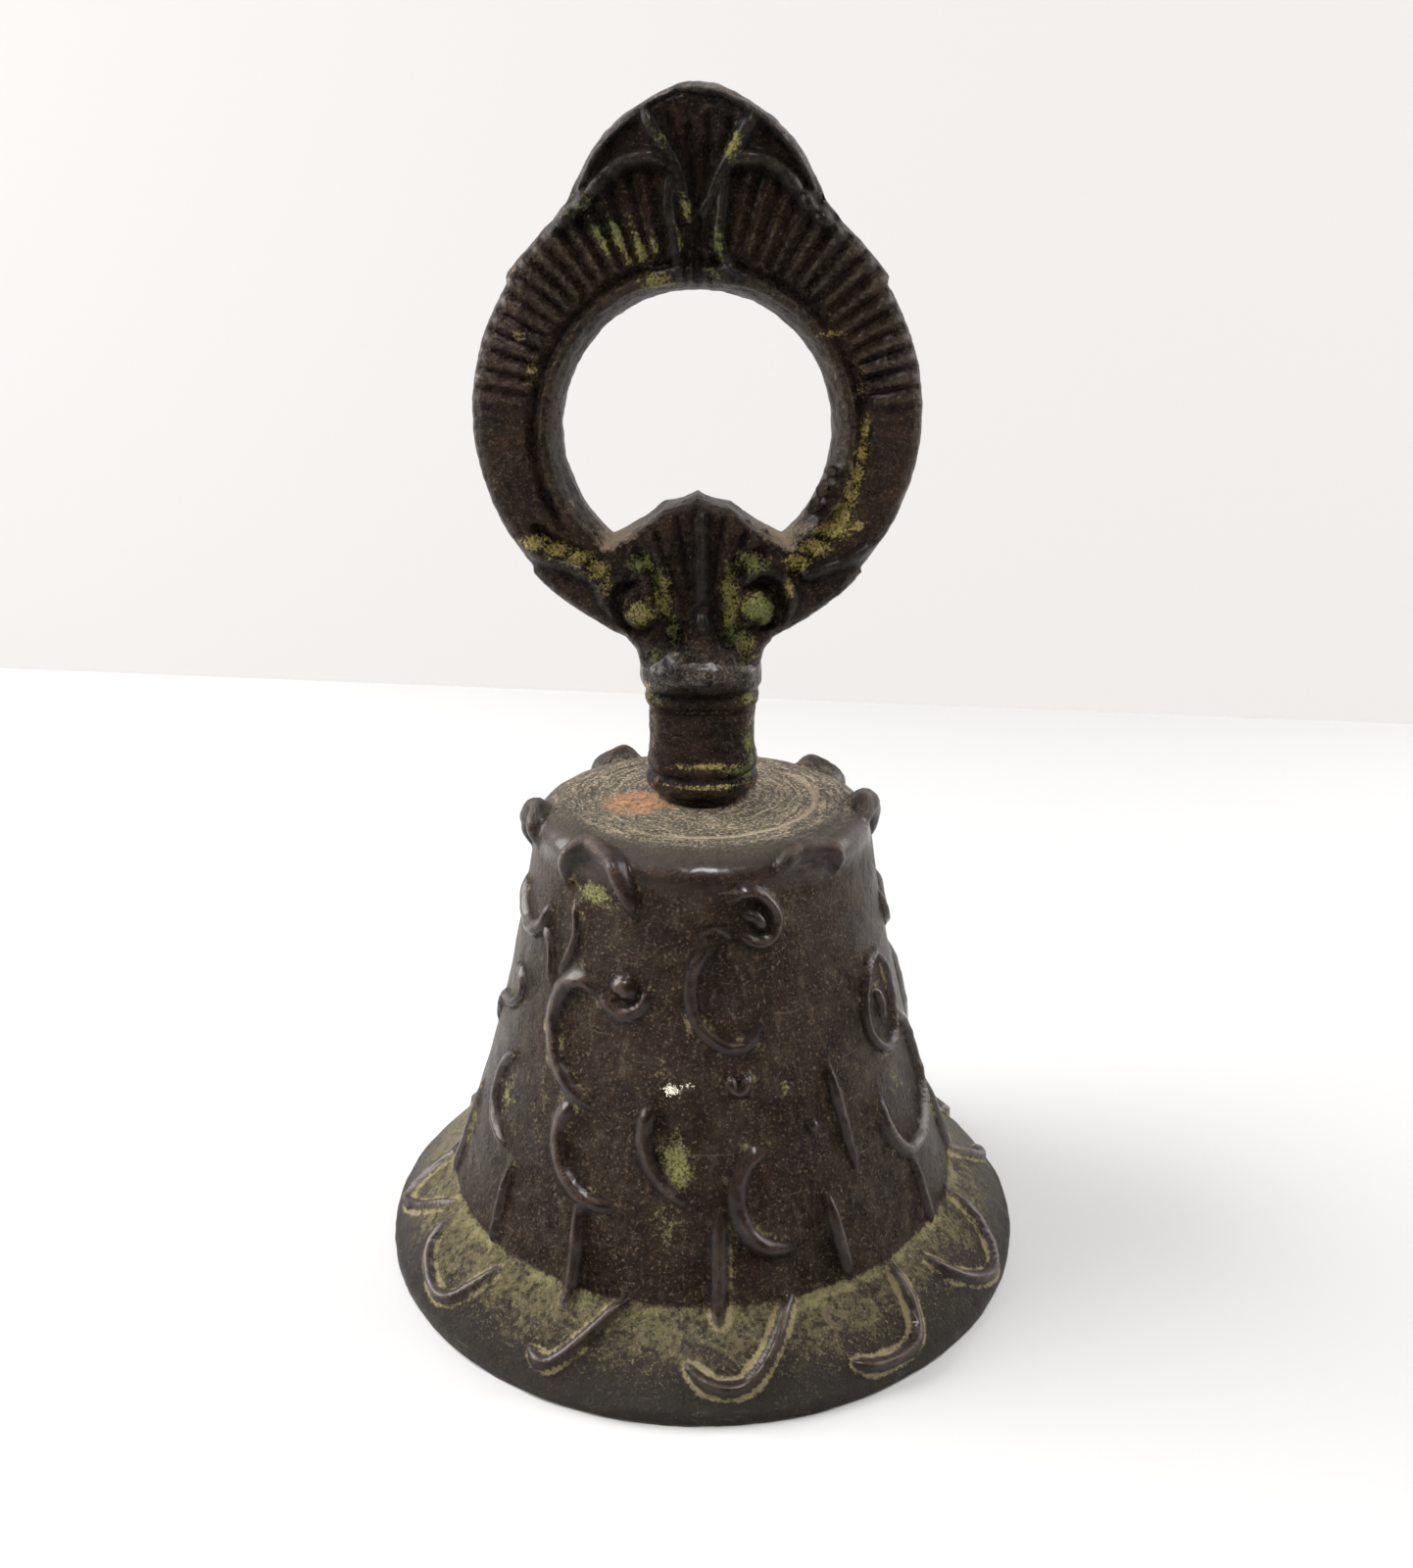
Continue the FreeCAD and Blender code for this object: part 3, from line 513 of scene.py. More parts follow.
# Lines worked on both faces of the handle, as (x, z) runs.  A negative rise is a groove.
face_lines = threads(
    ([(-2.3, 106.3), (-4, 107), (-6.4, 106.5), (-8.4, 104.9), (-10.2, 103.2), (-12.6, 101.3)],
     0.65, 1, 1),
    ([(2.4, 106.4), (4.4, 106.9), (6.8, 106.2), (8.6, 104.5), (10, 102.9), (12, 101.3)],
     0.65, 1, -1),
    ([(-4.6, 110.6), (-3.4, 108.6), (-2, 106.6), (-1.2, 104.2), (-0.6, 101.8)], 0.75, 0.7),
    ([(4.9, 110.4), (3.6, 108.2), (2.4, 106.2), (1.3, 104.2), (0.4, 101.8)], 0.75, 0.65),
    ([(-2, 112.2), (-3.6, 111.5), (-4.6, 110.8)], 0.5, 0.75),
    ([(-4.9, 110.6), (-7.2, 109), (-9, 106.6), (-10.2, 104)], 0.7, 0.75),
    ([(-1.6, 112.4), (1.8, 112.2), (4.2, 111), (6.6, 109.4), (8.7, 107), (10, 104.4)],
     0.7, 0.75),
    ([(-2.2, 105.6), (-2.4, 103), (-1.9, 100.4), (-1.5, 97.4)], 0.65, 0.7, 0, 0.2, 0.2),
    ([(2.3, 105.6), (2.1, 103), (1.9, 100.6), (2.5, 98.6), (3.9, 97.3)], 0.65, 0.7, 0, 0.2, 0.3),
    ([(0.1, 102.2), (0, 99), (0.2, 96.2)], 0.55, -0.6, 0, 0.4, 0.1),
    ([(-1, 100.6), (-1, 96.4)], 0.3, -0.35, 0, 0.4, 0.1),
    ([(1.1, 100.6), (1.3, 96.4)], 0.3, -0.35, 0, 0.4, 0.1),
    ([(-0.6, 109.9), (-0.4, 106), (-0.2, 102.6)], 0.42, -0.5),
    ([(1, 110.4), (0.9, 107), (0.6, 103.5)], 0.4, -0.45),
    ([(-2.4, 110.2), (-1.7, 107.4)], 0.4, -0.45),
    ([(2.9, 109.9), (2, 107)], 0.4, -0.45),
    # leaf under the hole
    ([(0.35, 77.2), (0.4, 73.6), (0.4, 70), (0.4, 66.5)], 0.75, 0.5, 0, 0.3, 0.2),
    ([(-1.9, 76.6), (-1.2, 73), (-0.7, 69.6)], 0.32, -0.32, 0, 0.2, 0.6),
    ([(2.4, 76.5), (1.8, 73), (1.4, 69.6)], 0.32, -0.36, 0, 0.2, 0.6),
    ([(-3.9, 75.4), (-2.8, 72.4), (-2, 69.4)], 0.34, -0.34, 0, 0.2, 0.6),
    ([(4.4, 75.2), (3.2, 72), (2.5, 69)], 0.42, -0.5, 0, 0.2, 0.6),
    ([(-5.6, 74), (-4, 71.6), (-2.9, 68.9), (-2.5, 66.6)], 0.7, -0.42, 0, 0.3, 0.4),
    ([(6, 73.8), (4.1, 71.6), (3.2, 69.2), (2.7, 66.6)], 0.7, -0.46, 0, 0.3, 0.4),
    ([(-6.6, 71.3), (-8.2, 70.4), (-8.4, 68.4), (-7, 66.6)], 0.55, 0.5, 0, 0.5, 0.7),
    ([(4.2, 70.4), (5.8, 71.7), (8, 70.8), (8.8, 68.8), (8, 66.9)], 0.6, 0.65, 0, 0.3, 0.6),
    ([(-5.6, 70.6), (-7, 69.9), (-7.6, 68.2), (-6.9, 66.6), (-5.2, 66), (-3.8, 67.2)],
     0.42, -0.5),
    ([(4, 69.2), (5.4, 70.4), (7, 69.8), (7.6, 68.2), (6.9, 66.7), (5.2, 66.1)], 0.42, -0.55),
    ([(-15.9, 74.2), (-13.6, 72.8), (-11.6, 72.2), (-9.8, 71.3), (-8.8, 69.8), (-8.5, 68.2)],
     0.6, 0.85, -1),
    ([(16, 74), (13.6, 72.6), (11.4, 71.9), (9.8, 71.2)], 0.55, 0.6, 1),
    ([(-15, 75.6), (-12.6, 73.9), (-10.2, 73), (-8.8, 71.6)], 0.7, -0.55),
    ([(13.4, 77.6), (11.8, 75), (9.4, 72.6), (8.6, 71.4)], 0.8, -0.55),
    ([(-2.4, 68.4), (-1.9, 66), (-1.9, 64.6)], 0.35, -0.35),
    ([(3, 68.4), (2.4, 66), (2.4, 64.6)], 0.35, -0.35),
)
volutes = [((-5.35, 67.95), 1.7), ((5.5, 68.25), 1.7)]
flute_step = 5.1                 # degrees between flutes
flute_first, flute_last = 9.0, 93.0


def face_height(x, z):
    """Broad shape of a face of the ring: a bead round the hole, a groove, and a fluted band outside."""
    reach = math.hypot(x, z - hole_height)
    bead = 0.3 * max(0.0, 1 - ((reach - 13.3) / 1.35) ** 2)
    groove = -0.42 * math.exp(-((reach - 14.75) / 0.36) ** 2)
    fade = unit((z - 74) / 3)
    from_top = math.degrees(math.atan2(abs(x + 0.2), z - ring_height))
    on_band = unit((reach - 15.0) / 0.8)
    height = (bead + groove) * fade
    if z > ring_height - 3:
        arch_top = 106.6 - 0.045 * (abs(x) - 4.5) ** 2
        under_arch = unit(arch_top - z)
        spread = unit((from_top - flute_first) / 3) * unit((flute_last - from_top) / 12)
        wave = abs(math.sin(math.pi * from_top / flute_step))
        height += on_band * under_arch * spread * (0.58 * wave**0.8 - 0.4)
    if z > 101:
        height -= 0.25 * min(1.0, (z - 101) / 3)
    return height


def make_handle():
    bm = bmesh.new()
    ring_plate(bm)
    squared_stem(bm)
    for side in (-1, 1):
        blob(bm, (0.2, side * 3.1, 61.9), (5.4, 3.2, 2.2))
        blob(bm, (0.3, side * 3.8, 65.0), (1.9, 1.8, 3.4))
        blob(bm, (-1.3, side * 4.3, 63.6), (1.5, 1.2, 1.1))
        blob(bm, (1.9, side * 4.3, 63.5), (1.5, 1.2, 1.1))
        for (x, z), size in volutes:
            blob(bm, (x, side * 3.95, z), (size, 1.45, size))
    for x, y, z, size in burrs:
        blob(bm, (x, y, z), (size, size, size))
    remeshed(bm, skin_voxel)
    bm.verts.ensure_lookup_table()
    bm.normal_update()
    points = [v.co.copy() for v in bm.verts]
    normals = [v.normal.copy() for v in bm.verts]
    relief = Relief([Vector((p.x, 0, p.z)) for p in points], [Vector((0, -1, 0))] * len(points))
    for strip in face_lines:
        relief.lay(strip, smooth_run([Vector((x, 0, z)) for x, z in strip["run"]], 0.22), 0.9)
    hollow = np.zeros(len(points))
    edge = np.zeros(len(points))
    dust = np.zeros(len(points))
    for n, vert in enumerate(bm.verts):
        p, normal = points[n], normals[n]
        facing = unit((abs(normal.y) - 0.25) / 0.5)
        side = 1 if normal.y > 0 else -1
        shape = face_height(p.x, p.z) if p.z > 71 else 0.0
        carved = relief.rise[n] + relief.sink[n] + shape
        lumps = 0.09 * noise.noise(p * 0.45) + 0.07 * layered_noise(p, 1.1)
        # how far into a groove each vertex lies, with the three turned lines on the stem; the finish darkens
        # these as painted shade and gathers green dirt in them
        hollow[n] = max(0.0, -(relief.sink[n] + min(0.0, shape)) * 1.6)
        hollow[n] += sum(math.exp(-((p.z - z) / 0.22) ** 2) for z in (51.45, 57.95, 59.6))
        relief.crest[n] = max(relief.crest[n], min(1.0, shape * 5)) if facing > 0.5 else relief.crest[n]
        in_hole = p.z > 71 and math.hypot(p.x, p.z - hole_height) < reach_at(hole_reach, p.x, p.z) + 1.4
        edge[n] = 4 * facing * (1 - facing) * (0.25 if in_hole else 1.0)
        notch = 0.3 + 0.6 * math.exp(-((abs(p.x) - 8.0) / 2.4) ** 2)
        dust[n] = notch * max(0.0, normal.z) * unit((79 - p.z) / 4) if in_hole else 0.0
        settled = unit((p.z - crown_top - 0.1) / 0.6)
        tilt = handle_lean * unit((p.z - 58) / 12)
        vert.co = p + (Vector((0, side * facing * carved, 0)) + normal * lumps) * settled
        vert.co.x += tilt
    piece = finished(bm, "ring_handle")
    store(piece, "crest", relief.crest)
    store(piece, "foot", np.maximum(relief.foot, np.minimum(hollow, 1)))
    flat = np.array([[p.x, p.z] for p in points])
    outward = np.array([1.0 if abs(n.y) > 0.3 else 0.35 for n in normals])
    store(piece, "green", painted(flat, green_on_handle) * outward)
    store(piece, "ochre", painted(flat, ochre_on_handle))
    store(piece, "edge", edge)
    store(piece, "dust", dust)
    return piece


burrs = [(10.35, -3.3, 77.2, 0.5), (10.75, -3.3, 77.8, 0.55), (11.3, -3.2, 78.9, 0.6),
         (11.5, -3.3, 79.5, 0.5), (12.05, -3.2, 80.6, 0.55), (6.1, -2.6, 75.0, 0.5),
         (4.6, -2.2, 75.8, 0.4), (-14.3, -1.0, 99.5, 0.6), (14.9, 1.0, 98.9, 0.6)]
# Patches of deposit on the handle: (x, z), half extents, strength.
green_on_handle = [
    (-8.6, 102.6, 2.4, 1.6, 0.9), (-7, 100.8, 2.6, 2.4, 1), (-4.6, 99, 2, 2.2, 1),
    (-3.4, 96.8, 1.6, 1.2, 0.8), (-0.9, 101.5, 1.1, 3.4, 0.75), (1.4, 99.4, 1, 2.8, 0.95),
    (2.7, 108.3, 1.1, 1.7, 1.05), (-2.6, 108.6, 2.2, 1.4, 0.6), (-0.6, 106, 1.8, 3, 0.4),
    (5.5, 68.3, 1.9, 1.9, 1.25), (2.9, 68.4, 1, 4.6, 1.05), (4.8, 72.6, 2.2, 1.2, 0.95),
    (-3.3, 69.6, 1.1, 3.2, 1), (-5.3, 67.9, 1.8, 1.8, 1.05), (-5.2, 72.4, 1.6, 1.2, 0.95),
    (-2.4, 65.8, 0.9, 2.2, 0.9), (4.2, 64.8, 1.4, 2, 1.05), (-4.2, 63.6, 1, 1.6, 0.8),
    (4.6, 59.6, 1.2, 1.2, 0.95), (4.6, 54.6, 1, 3.4, 0.9), (3.6, 52.4, 2.2, 0.8, 0.9),
    (4.6, 51.4, 1.2, 0.8, 1), (-4.4, 59.2, 1.2, 1, 0.7), (-4.8, 56, 0.6, 2.4, 0.7),
    (12.5, 95, 3, 2.6, 0.32), (-17, 94, 3, 3, 0.3), (6.5, 101.5, 3, 3, 0.38),
]
ochre_on_handle = [
    (-14.8, 74.4, 1.8, 0.8, 1), (-12.8, 73.6, 1.9, 0.9, 1.05), (-10.8, 72.9, 1.8, 0.9, 1),
    (-9.3, 71.9, 1.5, 1.2, 0.95), (-8.6, 70.2, 0.8, 1.4, 0.9), (15, 84.2, 0.5, 1.5, 1),
    (14.8, 82.4, 0.6, 1.5, 1.1), (14.4, 80.5, 0.7, 1.5, 1.1), (13.9, 78.7, 0.8, 1.5, 1.15),
    (13.2, 77, 1.1, 1.3, 1.2), (12.4, 75.4, 1.6, 1.1, 1.2), (10.8, 73.8, 1.7, 1, 1.2),
    (9.2, 72.4, 1.3, 1, 1.15), (14.6, 75.8, 1.5, 0.7, 0.85), (8.4, 70.4, 0.7, 1.6, 0.85),
    (-2.9, 69.6, 0.8, 2.6, 0.7), (0.5, 52.9, 4.8, 0.35, 1), (0, 50.9, 5.2, 0.3, 0.95),
    (0, 58.2, 5.2, 0.3, 0.7), (-14.6, 89.6, 0.8, 1.4, 0.8), (-15.4, 92.4, 1, 0.8, 0.7),
    (11.8, 92.6, 2, 0.5, 0.75), (-5.2, 60, 0.6, 2, 0.8), (14.4, 88, 0.6, 2, 0.6),
]

ring_handle = make_handle()
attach(ring_handle, "bell")
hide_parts("handle")


# ---- finishes
class Shade:
    """A shader socket that can be used in sums like a number."""

    def __init__(self, finish, socket):
        self.finish = finish
        self.socket = socket

    def math(self, operation, *values):
        return self.finish.add("Math", {"operation": operation}, *values)

    def __add__(self, other):
        return self.math("ADD", self, other)

    def __sub__(self, other):
        return self.math("SUBTRACT", self, other)

    def __rsub__(self, other):
        return self.math("SUBTRACT", other, self)

    def __mul__(self, other):
        return self.math("MULTIPLY", self, other)

    __radd__ = __add__
    __rmul__ = __mul__

    def between(self, low, high):
        """0 at low, 1 at high, eased from one to the other; low may be the larger."""
        return self.finish.add("MapRange", {"interpolation_type": "SMOOTHSTEP"}, self, low, high)


class Finish:
    """A finish: one shader, and the nodes that vary it over the surface."""

    def __init__(self, name, **constants):
        self.material = bpy.data.materials.new(name)
        self.material.use_nodes = True
        self.tree = self.material.node_tree
        self.shader = self.tree.nodes["Principled BSDF"]
        for socket, value in constants.items():
            self.shader.inputs[socket.replace("_", " ")].default_value = value
        self.place = self.add("VectorMath", {"operation": "SCALE"}, self.add("TexCoord", {}, out="Object"),
                              Scale=1 / MM)
        self.x = self.add("SeparateXYZ", {}, self.place, out="X")
        self.y = self.add("SeparateXYZ", {}, self.place, out="Y")
        self.z = self.add("SeparateXYZ", {}, self.place, out="Z")

    def add(self, kind, settings, *values, out=None, **named):
        """A node of a kind: its settings, its sockets in order or by name, and the output to use."""
        node = self.tree.nodes.new("ShaderNode" + kind)
        for name, value in settings.items():
            setattr(node, name, value)
        in_order = [socket for socket in node.inputs if socket.enabled]
        by_name = [node.inputs[name] for name in named]
        for socket, value in zip(in_order[:len(values)] + by_name, values + tuple(named.values())):
            if isinstance(value, Shade):
                self.tree.links.new(value.socket, socket)
            else:
                socket.default_value = value
        outputs = [socket for socket in node.outputs if socket.enabled]
        return Shade(self, node.outputs[out] if out else outputs[0])

    def blend(self, share, low, high):
        """Colour that goes from low to high."""
        low, high = [c if isinstance(c, Shade) else (*c, 1.0) for c in (low, high)]
        return self.add("Mix", {"data_type": "RGBA"}, share, low, high)

    def layered(self, colour, *layers):
        """Lays colours over one another, each given as its share and the colour."""
        for share, top in layers:
            colour = self.blend(share, colour, top)
        return colour

    def clouds(self, per_mm, detail=3.0, roughness=0.6, squeeze=(1, 1, 1), offset=0.0):
        """Cloudy noise around 0.5, with so many blots to the millimetre."""
        place = self.add("VectorMath", {"operation": "MULTIPLY_ADD"}, self.place, squeeze, (offset,) * 3)
        return self.add("TexNoise", {}, place, Scale=per_mm, Detail=detail, Roughness=roughness)

    def pits(self, per_mm):
        """0 at the middle of scattered pits, 1 away from them."""
        return self.add("TexVoronoi", {}, self.place, Scale=per_mm, out="Distance").between(0.1, 0.32)

    def painted(self, name):
        return self.add("Attribute", {"attribute_name": name}, out="Fac")

    def lay_on(self, colour, roughness, metallic, relief, coat=None):
        """Connects what varies; relief is in millimetres, and a coat is a thin gloss over the rest."""
        for name, value in (("Base Color", colour), ("Roughness", roughness), ("Metallic", metallic)):
            self.tree.links.new(value.socket, self.shader.inputs[name])
        if coat:
            self.tree.links.new(coat.socket, self.shader.inputs["Coat Weight"])
        bump = self.add("Bump", {}, Distance=MM, Height=relief)
        self.tree.links.new(bump.socket, self.shader.inputs["Normal"])
        return self.material


def old_brass_body():
    """Brown-black skin on cast brass, olive and ochre dirt in its corners, a dusty turned crown; painted
    shade at the foot of the ridges and on the front of the crown's rim, painted glints, and a skirt painted
    lighter towards the left.
    """
    f = Finish("old_brass_body", Specular_IOR_Level=0.3, Coat_Roughness=0.24)
    crest, foot, inside = f.painted("crest"), f.painted("foot"), f.painted("inside")
    green, ochre, bright = f.painted("green"), f.painted("ochre"), f.painted("bright")
    from_axis = f.add("Math", {"operation": "SQRT"}, f.x * f.x + f.y * f.y)
    cloud, blots = f.clouds(0.13, 4.0), f.clouds(0.45, 6.0, 0.68, offset=7.0)
    grain, grit = f.clouds(1.5, 5.0, 0.75), f.clouds(3.4, 4.0, 0.75, offset=2.0)
    rubs = f.clouds(1.3, 4.0, 0.7, (1, 1, 0.22), 5.0)
    scratches = f.clouds(1.6, 2.0, 0.5, (0.12, 0.12, 1.6), 3.0).between(0.68, 0.74)
    ridge = crest.between(0.1, 0.6)
    outside = 1 - inside
    skirt = f.z.between(7.9, 7.1) * outside
    crown = f.z.between(crown_top - 1.9, crown_top - 0.9) * outside

    def uneven(value, blotting, graining, gritting):
        """A value broken up by noise of three sizes."""
        for clouding, amount in ((blots, blotting), (grain, graining), (grit, gritting)):
            if amount:
                value = value + (clouding - 0.5) * amount
        return value

    # bare skin of the casting
    skin = f.layered(
        f.blend(cloud.between(0.38, 0.64), (0.012, 0.0062, 0.0037), (0.027, 0.0142, 0.0086)),
        (blots.between(0.48, 0.64) * 0.6, (0.042, 0.031, 0.018)),
        (rubs.between(0.53, 0.66) * 0.5, (0.085, 0.062, 0.04)),
        (grit.between(0.56, 0.66) * 0.75, (0.19, 0.145, 0.09)),
        (grit.between(0.46, 0.38) * 0.7, (0.006, 0.0042, 0.0032)))

    # skirt: olive grey, lightest by the foot of the waist and round the hooks, dark at the rim; the staining
    # is also painted lighter towards the left (-X) as painted light from that side
    near_waist = from_axis.between(32.6, 27.8)
    stain_and_left_light = uneven(near_waist * 0.8 - f.x * 0.007, 2.8, 1.6, 0).between(0.15, 1.0)
    olive = f.layered(
        f.blend(stain_and_left_light, (0.018, 0.012, 0.007), (0.12, 0.1, 0.048)),
        (grit.between(0.54, 0.64) * 0.7, (0.27, 0.225, 0.115)),
        (rubs.between(0.5, 0.38) * 0.55, (0.022, 0.017, 0.01)),
        (grain.between(0.5, 0.38) * 0.85, (0.014, 0.011, 0.007)),
        (from_axis.between(30.4, 32.6) * 0.85 * blots.between(0.3, 0.52), (0.017, 0.012, 0.009)))
    corner = f.z.between(8.1, 7.5) * f.z.between(6.0, 7.1) * outside
    packed = uneven(corner * 0.8, 2.0, 0, 1.6).between(0.58, 1.05)

    # crown: dust over turned rings and file marks, a pale turned line, rust that has run from the bolt, and a
    # dark rim, painted shade towards the front
    rings = f.add("TexNoise", {}, f.add("CombineXYZ", {}, from_axis * 2.6, f.x * 0.3, f.y * 0.3),
                  Scale=1.0, Detail=4.0, Roughness=0.75)
    filed = f.clouds(1.5, 3.0, 0.6, (0.08, 1.4, 1.0), 1.0).between(0.5, 0.6) * f.y.between(-4.0, -7.0)
    mould = uneven(f.x * -0.016 - f.y * 0.03, 2.8, 2.2, 0).between(0.0, 0.5)
    # the rim is darkened a little all round, and much more towards the front (-Y) as painted shade
    edge = from_axis.between(12.2, 14.4) * (0.25 + f.y.between(1.0, -9.0) * 0.7)
    pale_line = from_axis.between(10.7, 11.2) * from_axis.between(11.8, 11.3)
    pale_line = pale_line * uneven(f.x * 0.05 - f.y * 0.03, 2.5, 0, 0).between(-0.2, 0.45)
    rust_x, rust_y = f.x + 6.2, f.y + 2.2
    rust = uneven(rust_x * rust_x * 0.45 + rust_y * rust_y * 0.7, 18, 0, 16).between(10.0, 0.0)
    dusty = f.layered(
        f.blend((rings + (grit - 0.5) * 0.7).between(0.42, 0.68), (0.036, 0.027, 0.018), (0.36, 0.285, 0.18)),
        (grit.between(0.55, 0.63) * 0.85, (0.58, 0.48, 0.33)),
        (grit.between(0.46, 0.38) * 0.8, (0.022, 0.018, 0.012)),
        (filed * 0.6, f.blend(grit.between(0.4, 0.6), (0.03, 0.023, 0.016), (0.33, 0.27, 0.18))),
        (mould * 0.8, f.blend(grit.between(0.38, 0.62), (0.016, 0.014, 0.009), (0.19, 0.165, 0.1))),
        (edge * 0.9, (0.026, 0.019, 0.014)),
        (pale_line * 0.6, (0.46, 0.37, 0.25)),
        (rust * 0.85, f.blend(grain.between(0.35, 0.6), (0.13, 0.055, 0.024), (0.52, 0.25, 0.11))))

    # dirt in the corners, then the ridges rubbed clean of it, then painted shade at the foot of the ridges
    # and painted glints
    halo = foot.between(0.05, 0.7) * (1 - ridge)
    dirt = uneven(halo * (0.36 + skirt * 0.5) + (cloud - 0.5) * 1.8, 2.0, 0, 1.2)
    dirt = dirt.between(0.44, 1.0) * foot.between(0.02, 0.2)
    verdigris = uneven(green, 1.5, 1.3, 1.1).between(0.62, 1.15)
    crust = uneven(ochre, 1.5, 1.6, 1.6).between(0.72, 1.2)
    lip = f.z.between(crown_top - 4.6, crown_top - 3.0) * f.z.between(crown_top - 0.7, crown_top - 1.3)
    smooth = f.add("Math", {"operation": "MAXIMUM"}, ridge, lip * outside * 0.85)
    rubbed = crest.between(0.72, 1.0) * blots.between(0.38, 0.56)
    # painted shade: where there is no dirt, the ground at the foot of each ridge is darkened as contact shade
    painted_contact_shade = foot.between(0.55, 1.0) * (1 - ridge) * (1 - dirt)
    # painted highlight: the bright patches become near-white metallic spots that stand in for glints
    glint = uneven(bright, 0, 1, 2.4).between(0.66, 0.8)
    colour = f.layered(
        skin,
        (skirt, olive),
        (packed * 0.8, f.blend(grain, (0.095, 0.088, 0.036), (0.34, 0.3, 0.135))),
        (crown * grain.between(0.16, 0.34), dusty),
        (dirt * 0.8, f.blend(grain, (0.16, 0.135, 0.06), (0.46, 0.375, 0.195))),
        (verdigris * (1 - ridge * 0.85) * 0.9,
         f.blend(grit.between(0.35, 0.65), (0.055, 0.058, 0.018), (0.34, 0.335, 0.105))),
        (crust * (1 - ridge * 0.8) * 0.8, f.blend(grit, (0.095, 0.07, 0.032), (0.42, 0.325, 0.15))),
        (smooth * 0.9,
         f.blend(grain.between(0.4, 0.62), (0.0095, 0.005, 0.0034), (0.03, 0.0165, 0.0105))),
        (rubbed * 0.45, (0.095, 0.064, 0.043)),
        (painted_contact_shade * 0.6, (0.0055, 0.004, 0.003)),
        (glint, (0.78, 0.72, 0.56)),
        (scratches * 0.2 * (1 - crown), (0.2, 0.17, 0.13)),
        (inside * 0.95, f.blend(blots.between(0.3, 0.7), (0.045, 0.034, 0.02), (0.13, 0.105, 0.055))))

    dull = dirt * 0.5 + verdigris + crust * 0.6 + crown * 0.8 + skirt * 0.45
    roughness = uneven(0.34 + dull * 0.3 - smooth * 0.13 - glint * 0.2, 0.5, 0, 0.4)
    coat = (smooth * 0.48 + blots.between(0.42, 0.6) * 0.08 * (1 - skirt)) * (1 - dull).between(0.1, 0.8)
    metallic = (0.64 - dull * 0.6 + ridge * 0.1 + glint).between(0.0, 1.0)
    relief = uneven(f.pits(0.55) * 0.1, 0.34, 0.4, 0.27) * (1 - smooth * 0.72)
    relief = relief + (verdigris + crust) * 0.05 - scratches * 0.02 + crown * (rings - 0.5) * 0.16
    return f.lay_on(colour, roughness, metallic, relief, coat)


